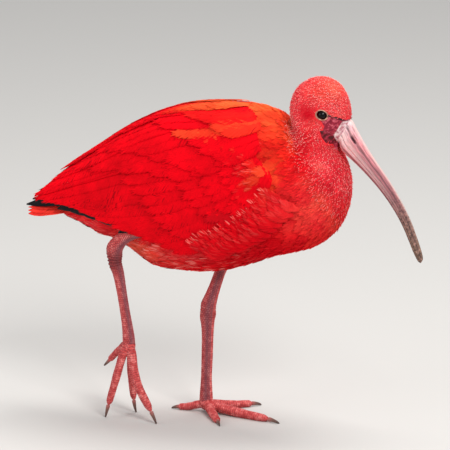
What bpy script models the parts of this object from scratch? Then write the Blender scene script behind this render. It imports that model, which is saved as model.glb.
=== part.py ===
"""A scarlet ibis (Eudocimus ruber) caught in mid stride, as a still life-size model.

The bird walks along +X. The left leg carries it on a flat foot, and the right leg trails behind
with its heel up and only the claws on the floor. Sizes are millimetres until a mesh is made,
and Blender's metres from there on. The floor is z = 0.

The body is one skin lofted along a spine that bends up through the neck and over the head. Each
section of it runs from a point on the back to a point on the belly, and the skin is parted into
torso, neck and head at three of these sections. The folded wings lie on an envelope, a rounder
loft just outside the torso, and each feather is a thin vane laid along that envelope.
"""

import math

import bmesh
import bpy
import numpy as np
from mathutils import Matrix, Vector

MM = 0.001
GAP = 0.3  # clearance between two pieces that touch

# Body sections, tail end to bill root: back x, back z, belly x, belly z, half width, and how much
# the lower side narrows (0 is an even oval).
BODY_SECTIONS = (
    (-101, 258, -101, 170, 24, 0.30),
    (-81, 273, -83, 161, 32, 0.34),
    (-55, 289, -60, 145.5, 40, 0.30),
    (-25, 300, -28, 142.5, 45.5, 0.22),
    (5, 307.5, 0, 143.5, 48, 0.14),
    (34, 312.5, 30, 151, 47.5, 0.10),
    (55, 309.5, 62, 163.5, 45, 0.08),
    (66, 305, 96, 173, 41, 0.06),
    (71, 300, 121, 192.5, 37, 0.02),
    (76.5, 292, 131.8, 215, 33, 0.0),
    (76.5, 295.5, 134.2, 236, 29.5, 0.0),
    (74, 303, 131, 255, 26.5, 0.0),
    (73.5, 313, 123.5, 268.5, 23.2, 0.0),
    (78, 327, 119.3, 273.8, 21.4, 0.0),
    (88, 337, 118.2, 275.9, 19.8, 0.0),
    (101, 342, 118.4, 277.3, 18.4, 0.0),
    (115.5, 340, 118.8, 278.2, 16.9, 0.0),
    (125.5, 331.5, 119.2, 278.6, 14.6, 0.0),
    (130.8, 320, 119.7, 278.7, 12.2, 0.0),
    (133.0, 309.3, 120.2, 278.5, 10.2, 0.0),
    (133.0, 301.0, 120.9, 278.2, 8.8, 0.0),
)
BODY_STEPS = 2  # rings per section
BODY_SIDES = 24
NECK_SPLITS = (8, 10, 12)  # sections at which torso, lower neck, upper neck and head part

# The wing envelope: x, top z, bottom z, half width
ENVELOPE = (
    (-190, 202.5, 194, 9),
    (-167, 222, 185, 17),
    (-143, 241, 178, 23),
    (-113, 262.5, 166, 32.5),
    (-84, 282.5, 158, 41.5),
    (-54, 298, 150, 49),
    (-25, 307.5, 142, 53.5),
    (5, 311.5, 138, 55.5),
    (34, 314, 143, 54.5),
    (59, 310.5, 152, 51),
    (84, 300, 160, 46),
)

# Folded wing core: x, upper edge z, lower edge z
WING_CORE = (
    (67, 256, 246),
    (55, 270, 234),
    (38, 286, 218),
    (15, 297, 200),
    (-10, 302, 188),
    (-35, 297, 184),
    (-60, 287, 190),
    (-85, 273, 197),
    (-105, 260, 205),
    (-118, 248, 214),
)
CORE_OUTER, CORE_INNER = 3.4, 12.0  # depths under the envelope
THIN_CORE_X, THIN_CORE_INNER = -75.0, 4.6  # past this x the wing hangs free of the body

VANE_THICKNESS = 0.7
MIDLINE_CLEARANCE = 0.5

# Feather tiers: count, width, root line, tip line (points x, z in the side view),
# depth at the root, depth at the tip
TIERS = {
    "secondaries": dict(
        count=8,
        width=20,
        roots=((32, 216), (5, 226), (-25, 258)),
        tips=((-30, 168), (-62, 179.5), (-95, 186.5), (-130, 195), (-156, 200.5), (-177, 204.5)),
        depths=(4.6, 2.4),
    ),
    "tertials": dict(
        count=4,
        width=21,
        roots=((-25, 262), (-5, 282), (6, 298)),
        tips=((-183, 205), (-170, 217.5), (-146, 237.5)),
        depths=(4.4, 1.7),
    ),
    "greater_coverts": dict(
        count=6,
        width=20,
        roots=((46, 226), (25, 240), (0, 268)),
        tips=((-6, 184), (-34, 190), (-62, 216), (-88, 246)),
        depths=(4.3, 1.5),
    ),
    "median_coverts": dict(
        count=5,
        width=20,
        roots=((57, 240), (42, 258), (22, 280)),
        tips=((24, 206), (4, 208), (-18, 228), (-38, 256)),
        depths=(4.2, 1.0),
    ),
    "lesser_coverts": dict(
        count=4,
        width=20,
        roots=((64, 250), (55, 266), (40, 283)),
        tips=((42, 220), (27, 228), (14, 246), (4, 268)),
        depths=(4.1, 0.6),
    ),
    "scapulars": dict(
        count=6,
        width=22,
        roots=((42, 278), (38, 291), (22, 304)),
        tips=((-8, 262), (-46, 268), (-84, 266), (-117, 257.5)),
        depths=(4.0, 0.2),
    ),
}
PRIMARIES = dict(
    count=5,
    width=13,
    roots=((-52, 196), (-52, 212)),
    tips=((-97, 186.5), (-130, 194), (-156, 197), (-185.5, 202.5)),
    depths=(6.0, 5.6),
)

# Tail: core sections behind the torso (x, top z, bottom z, half width) and its feathers
TAIL_CORE = (
    (-112, 248, 172.5, 21),
    (-126, 233, 180, 16.5),
    (-140, 215, 186.5, 12),
    (-152, 202, 191.5, 9),
)
RECTRICES = 12
TAIL_ROOT = (-128, 200.5)
TAIL_TIP = (-185.5, 192.3)
TAIL_HALF_WIDTH = 12.5  # at the tip, centre line of the outer feather
TAIL_FEATHER_WIDTH = 12

# Bill: culmen x, culmen z, lower edge x, lower edge z, half width, from the face to the tip
BILL_SECTIONS = (
    (138.6, 291.4, 124.6, 271.4, 8.2),
    (147.0, 277.2, 133.9, 263.2, 7.3),
    (157.7, 261.4, 145.6, 252.4, 6.3),
    (168.7, 246.4, 158.0, 239.2, 5.4),
    (177.5, 232.7, 168.3, 226.4, 4.8),
    (185.4, 218.6, 176.8, 213.7, 4.3),
    (191.9, 205.0, 183.7, 201.1, 3.9),
    (197.1, 191.3, 189.3, 188.2, 3.6),
    (200.9, 180.3, 193.6, 177.8, 3.3),
    (203.0, 172.3, 197.4, 170.2, 2.8),
    (202.7, 167.4, 200.2, 166.2, 1.6),
)
MOUTH_LINE = 0.36  # share of the bill's depth below the line of the mouth
NOSTRIL = dict(at=(137.5, 6.2, 283.5), length=7.0, height=1.5, slope=-52)

EYE_AT = (108.9, 18.5, 309.0)
EYE_RADIUS = 5.0
LID_RADIUS, LID_THICKNESS = 5.2, 1.1
LID_TURN = 0.11  # the lids face slightly forwards

# Legs: x, y, z of the centre line, then the half width across and along the stride
RIGHT_LEG = (
    (-50, -29.5, 187.5, 4.8, 5.2),
    (-64, -29, 186, 4.7, 5.1),
    (-77, -27, 181.5, 4.9, 5.6),
    (-87, -25, 174.5, 6.2, 6.8),
    (-92.5, -23.5, 165, 6.9, 7.4),
    (-92.8, -22.5, 154, 6.0, 6.6),
    (-89.5, -21.5, 141, 4.9, 5.4),
    (-86.3, -21, 122, 4.2, 4.7),
    (-83.4, -20.5, 103, 4.2, 4.7),
    (-81.2, -20, 88, 4.6, 5.2),
    (-80, -20, 76, 5.4, 5.9),
)
LEFT_LEG = (
    (4.5, 19.5, 148, 4.8, 5.2),
    (0.4, 17.6, 139, 4.8, 5.2),
    (-4.2, 15.8, 125, 5.0, 5.5),
    (-8.6, 14, 111, 6.0, 6.6),
    (-10.6, 13, 99.5, 6.6, 7.2),
    (-10.8, 13, 88, 5.7, 6.3),
    (-10.9, 13, 76, 4.9, 5.6),
    (-11.4, 13.2, 56, 4.7, 5.4),
    (-12.3, 13.8, 34, 4.6, 5.2),
    (-12.6, 14, 20, 5.4, 6.0),
    (-12.6, 14, 11.5, 5.8, 6.4),
)
HOCK_SPLIT = 4  # row at which tibia and tarsus part
LEG_SIDES = 12

# Feathered thighs: x, y, z, radius
RIGHT_THIGH = ((4, -26, 194, 6), (-4, -27, 193, 13), (-28, -28.5, 190.5, 12), (-49.7, -29.5, 187.6, 7.2))
LEFT_THIGH = ((33, 26, 195, 7), (28, 26.5, 188, 15), (14.5, 24, 166, 13), (4.6, 19.6, 148.3, 7.2))

# Toes: centre-line points x, y, z and radius, from the palm to the claw, then the claw's tip
LEFT_TOES = {
    "hallux": (((-21, 14, 6.2, 3.6), (-31, 14.2, 3.4, 3.3), (-40.5, 14.4, 2.5, 2.7)), (-47.5, 14.8, 0.35)),
    "inner": (((-7, 5.5, 6.2, 4.1), (1, -9, 3.6, 3.8), (9, -23.5, 2.7, 3.0)), (13, -31.5, 0.35)),
    "middle": (((-3, 11, 6.6, 4.7), (24, 3.6, 4.0, 4.3), (55, -5.3, 2.8, 3.2)), (66, -8.5, 0.35)),
    "outer": (((-5, 20, 6.2, 4.1), (10, 31, 3.6, 3.8), (26, 42.5, 2.7, 3.0)), (33.5, 48, 0.35)),
}
RIGHT_TOES = {
    "hallux": (((-85.5, -15.5, 69, 3.4), (-94, -13.5, 60.5, 3.1), (-102, -12, 51.5, 2.5)), (-107.5, -11, 45.5)),
    "inner": (((-79.5, -14.5, 66, 3.8), (-80.8, -9, 40, 3.6), (-78.8, -7, 11.5, 2.8)), (-76.5, -6.5, -0.7)),
    "middle": (((-76.6, -24, 65, 4.4), (-70, -29.5, 38, 4.2), (-53.5, -36, 10.5, 3.1)), (-47.5, -38.5, -0.7)),
    "outer": (((-83.6, -25, 66, 3.8), (-91, -27.5, 38, 3.6), (-98.3, -28.5, 11.5, 2.8)), (-100.8, -30, -0.7)),
}
PALMS = {"left": ((-12.6, 14, 8.2), 6.6), "right": ((-80, -20, 70.5), 6.4)}
TOE_SIDES = 8
FOOT_UP = {"left": (0.0, 0.31, 0.95), "right": (0.0, 1.0, 0.1)}
CLAW_SHARE = 0.72  # claw base against the toe's end

RED, DEEP_RED, PINK, DUSKY_PINK, BLACK = (
    (0.85, 0.02, 0.02, 1),
    (0.78, 0.015, 0.02, 1),
    (0.80, 0.16, 0.17, 1),
    (0.62, 0.22, 0.22, 1),
    (0.01, 0.012, 0.025, 1),
)


def clear_scene():
    """An empty scene to build in."""
    for obj in list(bpy.data.objects):
        bpy.data.objects.remove(obj, do_unlink=True)


def new_collection(name):
    """A collection of that name, linked to the scene."""
    found = bpy.data.collections.new(name)
    bpy.context.scene.collection.children.link(found)
    return found


def material(name, colour, roughness):
    """A plain Principled material."""
    made = bpy.data.materials.new(name)
    made.use_nodes = True
    shader = made.node_tree.nodes["Principled BSDF"]
    shader.inputs["Base Color"].default_value = colour
    shader.inputs["Roughness"].default_value = roughness
    return made


def spline(rows, steps):
    """Rows of numbers, thickened to a smooth curve with that many steps between two rows."""
    rows = np.asarray(rows, float)
    ends = np.vstack([2 * rows[0] - rows[1], rows, 2 * rows[-1] - rows[-2]])
    made = []
    for i in range(1, len(ends) - 2):
        before, here, after, later = ends[i - 1 : i + 3]
        for step in range(steps):
            t = step / steps
            made.append(
                0.5
                * (
                    2 * here
                    + (after - before) * t
                    + (2 * before - 5 * here + 4 * after - later) * t**2
                    + (3 * here - before - 3 * after + later) * t**3
                )
            )
    made.append(rows[-1])
    return np.array(made)


def along(points, share):
    """The point at a share of the way, by index, along a line of points."""
    points = np.asarray(points, float)
    place = share * (len(points) - 1)
    lower = min(int(place), len(points) - 2)
    return points[lower] + (points[lower + 1] - points[lower]) * (place - lower)


def loft(name, rings, collection, look=None):
    """A closed mesh object through rings of millimetre points, with a cap at each end."""
    bm = bmesh.new()
    rows = [[bm.verts.new(Vector(point) * MM) for point in ring] for ring in rings]
    sides = len(rows[0])
    for here, there in zip(rows, rows[1:]):
        for i in range(sides):
            j = (i + 1) % sides
            bm.faces.new((here[i], here[j], there[j], there[i]))
    bm.faces.new(rows[0][::-1])
    bm.faces.new(rows[-1])
    bmesh.ops.triangulate(bm, faces=bm.faces)
    bmesh.ops.recalc_face_normals(bm, faces=bm.faces)
    mesh = bpy.data.meshes.new(name)
    bm.to_mesh(mesh)
    bm.free()
    obj = bpy.data.objects.new(name, mesh)
    collection.objects.link(obj)
    if look:
        mesh.materials.append(look)
    return obj


def replace_mesh(obj):
    """Applies an object's modifiers."""
    graph = bpy.context.evaluated_depsgraph_get()
    mesh = bpy.data.meshes.new_from_object(obj.evaluated_get(graph))
    obj.modifiers.clear()
    obj.data = mesh


def boolean(obj, operation, other):
    """Cuts obj by, or joins it to, another object or a whole collection, and applies the result."""
    modifier = obj.modifiers.new(operation.lower(), "BOOLEAN")
    modifier.operation = operation
    modifier.solver = "MANIFOLD"
    if isinstance(other, bpy.types.Collection):
        modifier.operand_type = "COLLECTION"
        modifier.collection = other
    else:
        modifier.object = other
    replace_mesh(obj)


def keep_largest(obj):
    """Leaves only the largest closed surface of a mesh, with its flat areas whole again."""
    bm = bmesh.new()
    bm.from_mesh(obj.data)
    left, islands = set(bm.faces), []
    while left:
        grown, edge = set(), {next(iter(left))}
        while edge:
            grown |= edge
            edge = {f for g in edge for e in g.edges for f in e.link_faces} - grown
        islands.append(grown)
        left -= grown
    largest = max(islands, key=lambda faces: sum(f.calc_area() for f in faces))
    bmesh.ops.delete(bm, geom=[f for f in bm.faces if f not in largest], context="FACES")
    bmesh.ops.dissolve_limit(
        bm, angle_limit=math.radians(1.0), verts=bm.verts, edges=bm.edges, use_dissolve_boundaries=False
    )
    bmesh.ops.triangulate(bm, faces=bm.faces)
    bm.to_mesh(obj.data)
    bm.free()


def drop(*objects):
    """Removes helper objects."""
    for obj in objects:
        bpy.data.objects.remove(obj, do_unlink=True)


def mirrored(obj, name, collection):
    """A copy of obj on the other side of the bird."""
    twin = obj.copy()
    twin.data = obj.data.copy()
    twin.name = twin.data.name = name
    twin.data.transform(Matrix.Scale(-1, 4, (0, 1, 0)))
    twin.data.flip_normals()
    collection.objects.link(twin)
    return twin


# Body


def body_ring(section, sides, grow=0.0):
    """One oval section of the body, from its back point round to its belly point."""
    back_x, back_z, belly_x, belly_z, half_width, narrowing = section
    back, belly = np.array((back_x, 0.0, back_z)), np.array((belly_x, 0.0, belly_z))
    span = belly - back
    outward = span / np.linalg.norm(span) * grow
    back, belly = back - outward, belly + outward
    ring = []
    for i in range(sides):
        angle = 2 * math.pi * i / sides
        down = (1 - math.cos(angle)) / 2
        across = (half_width + grow) * math.sin(angle) * (1 - narrowing * down**2)
        ring.append(back + (belly - back) * down + np.array((0.0, across, 0.0)))
    return np.array(ring)


def ring_normal(ring):
    """Unit normal of a flat ring, found from its own points."""
    centre = ring.mean(axis=0)
    normal = sum(np.cross(a - centre, b - centre) for a, b in zip(ring, np.roll(ring, -1, axis=0)))
    return normal / np.linalg.norm(normal)


def parted(rings, at):
    """Two stacks of rings from one, split at a ring, with the gap left between them."""
    start = rings[at].copy()
    normal = ring_normal(start)
    onward = (rings[at + 1] - start).mean(axis=0)
    start += normal * GAP * math.copysign(1, float(onward @ normal))
    return rings[: at + 1], np.concatenate([[start], rings[at + 1 :]])


def body_rings(grow=0.0):
    return np.array(
        [body_ring(row, BODY_SIDES, grow) for row in spline(BODY_SECTIONS, BODY_STEPS)]
    )


def build_body(collection, looks):
    """Torso, two lengths of neck and the head."""
    left = body_rings()
    made, used = {}, 0
    for name, split in zip(("torso", "neck_lower", "neck_upper"), NECK_SPLITS):
        at = split * BODY_STEPS
        piece, left = parted(left, at - used)
        made[name] = loft(name, piece, collection, looks["plumage"])
        used = at
    made["head"] = loft("head", left, collection, looks["plumage"])
    return made, left[-1]


# Head


def ball(name, centre, radii, collection, segments=12, rings=8, look=None):
    """A UV sphere stretched to three radii."""
    bm = bmesh.new()
    bmesh.ops.create_uvsphere(bm, u_segments=segments, v_segments=rings, radius=1)
    bmesh.ops.scale(bm, vec=Vector(radii) * MM, verts=bm.verts)
    bmesh.ops.translate(bm, vec=Vector(centre) * MM, verts=bm.verts)
    bmesh.ops.triangulate(bm, faces=bm.faces)
    mesh = bpy.data.meshes.new(name)
    bm.to_mesh(mesh)
    bm.free()
    obj = bpy.data.objects.new(name, mesh)
    collection.objects.link(obj)
    if look:
        mesh.materials.append(look)
    return obj


def lid_ring(name, centre, collection):
    """The rim of the eyelids, a ring a little wider than high, turned with the side of the head."""
    outward = math.copysign(1, centre[1])
    bm = bmesh.new()
    section = bmesh.ops.create_circle(bm, segments=5, radius=LID_THICKNESS)["verts"]
    bmesh.ops.translate(bm, vec=(LID_RADIUS, 0, 0), verts=section)
    bmesh.ops.spin(
        bm, geom=bm.verts[:] + bm.edges[:], cent=(0, 0, 0), axis=(0, 1, 0), angle=2 * math.pi, steps=14
    )
    bmesh.ops.remove_doubles(bm, verts=bm.verts, dist=0.01)
    bmesh.ops.scale(bm, vec=(1.08, 1, 0.96), verts=bm.verts)
    bmesh.ops.rotate(bm, matrix=Matrix.Rotation(-outward * LID_TURN, 3, "Z"), verts=bm.verts)
    bmesh.ops.translate(bm, vec=Vector(centre) + Vector((0, outward * 1.3, 0)), verts=bm.verts)
    bmesh.ops.scale(bm, vec=(MM, MM, MM), verts=bm.verts)
    bmesh.ops.triangulate(bm, faces=bm.faces)
    bmesh.ops.recalc_face_normals(bm, faces=bm.faces)
    mesh = bpy.data.meshes.new(name)
    bm.to_mesh(mesh)
    bm.free()
    obj = bpy.data.objects.new(name, mesh)
    collection.objects.link(obj)
    return obj


def build_eyes(head, collection, helpers, looks):
    """Both eyes, each in a socket of the head behind its lids."""
    for side, name in ((-1, "eye_right"), (1, "eye_left")):
        centre = (EYE_AT[0], side * (EYE_AT[1] - 3.0), EYE_AT[2])
        lids = lid_ring(name + "_lids", (EYE_AT[0], side * EYE_AT[1], EYE_AT[2]), helpers)
        boolean(head, "UNION", lids)
        ball(name, centre, (EYE_RADIUS,) * 3, collection, look=looks["eye"])
        socket = ball(name + "_socket", centre, (EYE_RADIUS + GAP + 0.1,) * 3, helpers)
        boolean(head, "DIFFERENCE", socket)
        drop(lids, socket)


def bill_half(section, upper, sides=11):
    """One half section of the bill: a flat bite face and a rounded outer side."""
    top_x, top_z, low_x, low_z, half_width = section
    top, low = np.array((top_x, 0.0, top_z)), np.array((low_x, 0.0, low_z))
    depth = np.linalg.norm(top - low)
    mouth = low + (top - low) * MOUTH_LINE
    toward = (top - low) / depth * (1 if upper else -1)
    height = depth * ((1 - MOUTH_LINE) if upper else MOUTH_LINE) - GAP / 2
    start = mouth + toward * GAP / 2
    ring = []
    for i in range(sides):
        angle = math.pi * i / (sides - 1)
        across = half_width * math.copysign(abs(math.cos(angle)) ** 0.8, math.cos(angle))
        ring.append(start + toward * height * math.sin(angle) ** 0.9 + np.array((0.0, across, 0.0)))
    return ring


def build_bill(face_ring, collection, helpers, looks):
    """Both halves of the bill, which start at the flat front of the head."""
    back = face_ring[0]
    belly = face_ring[len(face_ring) // 2]
    normal = np.array((back[2] - belly[2], 0.0, belly[0] - back[0]))
    normal /= np.linalg.norm(normal)
    back, belly = back + normal * GAP, belly + normal * GAP
    inset = (back - belly) * 0.04
    root = (*(back - inset)[[0, 2]], *(belly + inset)[[0, 2]], 8.6)
    rows = spline((root, *BILL_SECTIONS), 1)
    for upper, name in ((True, "bill_upper"), (False, "bill_lower")):
        loft(name, [bill_half(row, upper) for row in rows], collection, looks["bill"])
    slope = Matrix.Rotation(math.radians(-NOSTRIL["slope"]), 4, "Y")
    for side in (-1, 1):
        x, y, z = NOSTRIL["at"]
        radii = (NOSTRIL["length"] / 2, 2.4, NOSTRIL["height"] / 2)
        slit = ball("nostril", (0, 0, 0), radii, helpers, 10, 6)
        slit.data.transform(slope)
        slit.data.transform(Matrix.Translation(Vector((x, side * y, z)) * MM))
        boolean(bpy.data.objects["bill_upper"], "DIFFERENCE", slit)
        drop(slit)


# Wings


ENVELOPE_ROWS = spline(ENVELOPE, 8)


def envelope_section(x):
    """Top z, bottom z and half width of the envelope at x."""
    rows = ENVELOPE_ROWS
    return [float(np.interp(x, rows[:, 0], rows[:, k])) for k in (1, 2, 3)]


def envelope_angle(x, z):
    """Angle round the envelope, 0 at the top, that reaches height z."""
    top, bottom, _ = envelope_section(x)
    share = (z - (top + bottom) / 2) / ((top - bottom) / 2)
    return math.acos(max(-0.999, min(0.999, share)))


def on_envelope(x, angle, depth=0.0):
    """A point of the right side, at a depth under the envelope."""
    top, bottom, half_width = envelope_section(x)
    middle, half = (top + bottom) / 2, (top - bottom) / 2
    return np.array(
        (
            x,
            -max(half_width - depth, 0.0) * math.sin(angle) ** 0.9,
            middle + max(half - depth, 0.0) * math.cos(angle),
        )
    )


def envelope_normal(x, angle, depth=0.0):
    """Outward unit normal there."""
    step_x, step_angle = 2.0, 0.05
    run = on_envelope(x + step_x, angle, depth) - on_envelope(x - step_x, angle, depth)
    round_ = on_envelope(x, angle + step_angle, depth) - on_envelope(x, angle - step_angle, depth)
    normal = np.cross(run, round_)
    normal /= np.linalg.norm(normal)
    outward = on_envelope(x, angle, depth) - on_envelope(x, angle, depth + 1)
    return normal * math.copysign(1, float(normal @ outward))


VANE_SHAPE = ((0.0, 0.55), (0.45, 1.0), (0.84, 0.84), (1.0, 0.3))


def vane_rings(root, tip, width, depths, clearance, tilt=0.09):
    """Five-sided rings of one feather laid on the envelope, from root (x, z) to tip (x, z)."""
    root_angle, tip_angle = envelope_angle(*root), envelope_angle(*tip)
    rings = []
    for share, breadth in VANE_SHAPE:
        x = root[0] + (tip[0] - root[0]) * share
        angle = root_angle + (tip_angle - root_angle) * share
        depth = depths[0] + (depths[1] - depths[0]) * share**0.8
        centre = on_envelope(x, angle, depth)
        ahead = on_envelope(
            x + (tip[0] - root[0]) * 0.05, angle + (tip_angle - root_angle) * 0.05, depth
        )
        run = (ahead - centre) / np.linalg.norm(ahead - centre)
        normal = envelope_normal(x, angle, depth)
        side = np.cross(run, normal)
        side /= np.linalg.norm(side)
        if side[2] < 0:
            side = -side
        half = width / 2 * breadth
        thick = VANE_THICKNESS / 2
        drop_edge = half**2 / 90
        upper = centre + side * half - normal * (tilt * half + drop_edge)
        lower = centre - side * half + normal * (tilt * half - drop_edge)
        ring = [
            upper + normal * thick,
            centre + normal * (thick + 0.1),
            lower + normal * thick,
            lower - normal * thick,
            upper - normal * thick,
        ]
        for outer, inner in ((0, 4), (1, 4), (2, 3)):
            ring[inner][1] = min(ring[inner][1], -clearance)
            ring[outer][1] = min(ring[outer][1], -clearance - abs(normal[1]) * VANE_THICKNESS)
        rings.append(ring)
    return rings


def tier_vanes(tier, collection, rng):
    """All feathers of one tier, each varied a little."""
    made = []
    for i in range(tier["count"]):
        share = i / (tier["count"] - 1)
        root, tip = along(tier["roots"], share), along(tier["tips"], share)
        tip = tip + rng.uniform(-1, 1, 2) * (1.5, 0.6)
        width = tier["width"] * rng.uniform(0.94, 1.06)
        clearance = MIDLINE_CLEARANCE + rng.uniform(0, 1)
        rings = vane_rings(root, tip, width, tier["depths"], clearance)
        made.append(loft("vane", rings, collection))
    return made


def wing_core(collection, name, grow=0.0):
    """The fleshy and covert-covered inner part of the folded wing, without its long feathers."""
    rows = spline(WING_CORE, 1)
    across = 6
    rings = []
    for x, upper, lower in rows:
        start, end = envelope_angle(x, upper + grow), envelope_angle(x, lower - grow)
        free = min(1.0, max(0.0, (THIN_CORE_X + 12 - x) / 24))
        inner = CORE_INNER + (THIN_CORE_INNER - CORE_INNER) * free + grow
        ring = []
        for depth, order in ((CORE_OUTER - grow, range(across + 1)), (inner, range(across, -1, -1))):
            for i in order:
                angle = start + (end - start) * i / across
                rim = 0.35 if i in (0, across) else 1.0
                level = (CORE_OUTER + 0.9) + (depth - CORE_OUTER - 0.9) * rim
                point = on_envelope(x, angle, level)
                point[1] = min(point[1], -MIDLINE_CLEARANCE)
                ring.append(point)
        rings.append(ring)
    return loft(name, rings, collection)


def build_wings(collection, helpers, looks, keep_out):
    """Both folded wings, the left a mirrored copy, and the black-tipped primaries under them."""
    rng = np.random.default_rng(7)
    vanes = new_collection("vanes")
    for tier in TIERS.values():
        tier_vanes(tier, vanes, rng)
    wing = wing_core(collection, "wing_right")
    wing.data.materials.append(looks["wing"])
    boolean(wing, "UNION", vanes)
    for cutter in keep_out:
        boolean(wing, "DIFFERENCE", cutter)
    keep_largest(wing)
    drop(*vanes.objects)
    mirrored(wing, "wing_left", collection)

    first, *others = tier_vanes(PRIMARIES, vanes, rng)
    vanes.objects.unlink(first)
    collection.objects.link(first)
    first.name = first.data.name = "primaries_right"
    first.data.materials.append(looks["black"])
    boolean(first, "UNION", vanes)
    for cutter in (*keep_out, wing_core(helpers, "core_cutter", GAP)):
        boolean(first, "DIFFERENCE", cutter)
    keep_largest(first)
    drop(*others)
    mirrored(first, "primaries_left", collection)
    bpy.data.collections.remove(vanes)


# Tail


def tail_keep_out(first_ring, helpers):
    """The room that the tail takes up, a little larger all round, to cut the wings clear of it."""
    rings = [first_ring * (1, 1.03, 1) + (GAP, 0, 0)]
    for x, top, bottom, half_width in TAIL_CORE:
        section = (x - GAP, top, x - GAP, bottom, half_width, 0.1)
        rings.append(body_ring(section, BODY_SIDES, GAP + 0.1))
    core = loft("tail_core_cutter", rings, helpers)
    rings = []
    for share in (0.0, 1.1):
        x = TAIL_ROOT[0] + (TAIL_TIP[0] - TAIL_ROOT[0]) * share
        z = TAIL_ROOT[1] + (TAIL_TIP[1] - TAIL_ROOT[1]) * share
        reach = 3 + (TAIL_HALF_WIDTH - 3) * share + TAIL_FEATHER_WIDTH / 2 + 1
        corners = ((-reach, -4), (reach, -4), (reach, 1.6), (-reach, 1.6))
        rings.append([(x, y, z + up) for y, up in corners])
    return core, loft("tail_fan_cutter", rings, helpers)


def build_tail(first_ring, collection, looks):
    """The coverts as a tapering core, and twelve feathers closed over one another."""
    start = first_ring.copy()
    start[:, 0] -= GAP
    rings = [start]
    for x, top, bottom, half_width in TAIL_CORE:
        rings.append(body_ring((x, top, x, bottom, half_width, 0.1), BODY_SIDES))
    tail = loft("tail", rings, collection, looks["plumage"])
    vanes = new_collection("rectrices")
    for i in range(RECTRICES):
        spread = 2 * i / (RECTRICES - 1) - 1
        lift = -0.35 * abs(spread) - 0.12 * spread
        rings = []
        for share, breadth in VANE_SHAPE:
            x = TAIL_ROOT[0] + (TAIL_TIP[0] - TAIL_ROOT[0]) * share * (1 - 0.05 * abs(spread))
            z = TAIL_ROOT[1] + (TAIL_TIP[1] - TAIL_ROOT[1]) * share + lift * (1 + 3 * share)
            y = spread * (3 + (TAIL_HALF_WIDTH - 3) * share)
            half = TAIL_FEATHER_WIDTH / 2 * breadth
            thick = VANE_THICKNESS / 2
            roll = 0.10 + 0.10 * spread
            ring = []
            for across, up in ((-1, 1), (0, 1.3), (1, 1), (1, -1), (0, -0.7), (-1, -1)):
                ring.append((x, y + across * half, z + up * thick - roll * across * half * 0.5))
            rings.append(ring)
        loft("rectrix", rings, vanes)
    boolean(tail, "UNION", vanes)
    keep_largest(tail)
    drop(*vanes.objects)
    bpy.data.collections.remove(vanes)


# Legs


def tube_rings(rows, sides, up=(0.0, 1.0, 0.0)):
    """Oval rings square to a centre line. A row is x, y, z, half width across, half width along."""
    rows = np.asarray(rows, float)
    centres = rows[:, :3]
    runs = np.gradient(centres, axis=0)
    rings = []
    for centre, run, (wide, deep) in zip(centres, runs, rows[:, 3:5]):
        run = run / np.linalg.norm(run)
        across = np.array(up) - run * float(np.dot(up, run))
        across /= np.linalg.norm(across)
        other = np.cross(run, across)
        rings.append(
            [
                centre + across * wide * math.cos(turn) + other * deep * math.sin(turn)
                for turn in (2 * math.pi * i / sides for i in range(sides))
            ]
        )
    return np.array(rings)


def build_leg(side, rows, collection, looks):
    """Tibia and tarsus, parted at the hock."""
    steps = 2
    rings = tube_rings(spline(rows, steps), LEG_SIDES)
    tibia, tarsus = parted(rings, HOCK_SPLIT * steps)
    loft(f"tibia_{side}", tibia, collection, looks["leg"])
    loft(f"tarsus_{side}", tarsus, collection, looks["leg"])


def flattened(obj):
    """Cuts a piece off level with the floor, which leaves the small flat that it rests on."""
    bm = bmesh.new()
    bm.from_mesh(obj.data)
    cut = bmesh.ops.bisect_plane(
        bm,
        geom=[*bm.verts, *bm.edges, *bm.faces],
        plane_co=(0, 0, 0),
        plane_no=(0, 0, 1),
        clear_inner=True,
    )
    rim = [e for e in cut["geom_cut"] if isinstance(e, bmesh.types.BMEdge)]
    if rim:
        bmesh.ops.holes_fill(bm, edges=rim)
        bmesh.ops.triangulate(bm, faces=bm.faces)
        bmesh.ops.recalc_face_normals(bm, faces=bm.faces)
    bm.to_mesh(obj.data)
    bm.free()


def toe_rows(points):
    """Centre-line rows of a toe, smoothed, round in section."""
    rows = spline(points, 4)
    return np.column_stack([rows, rows[:, 3]])


def build_claw(name, end, run, tip, radius, collection, looks):
    """A curved cone from the end of a toe to its point."""
    start = end + run * GAP
    tip = np.asarray(tip, float)
    bow = start + run * np.linalg.norm(tip - start) * 0.55
    rows = []
    for share in (0.0, 0.3, 0.6, 0.85, 1.0):
        centre = (1 - share) ** 2 * start + 2 * share * (1 - share) * bow + share**2 * tip
        size = radius * CLAW_SHARE * (1 - share) ** 0.8 + 0.55 * share
        rows.append((*centre, size * 0.8, size))
    flattened(loft(name, tube_rings(rows, 8), collection, looks["claw"]))


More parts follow.
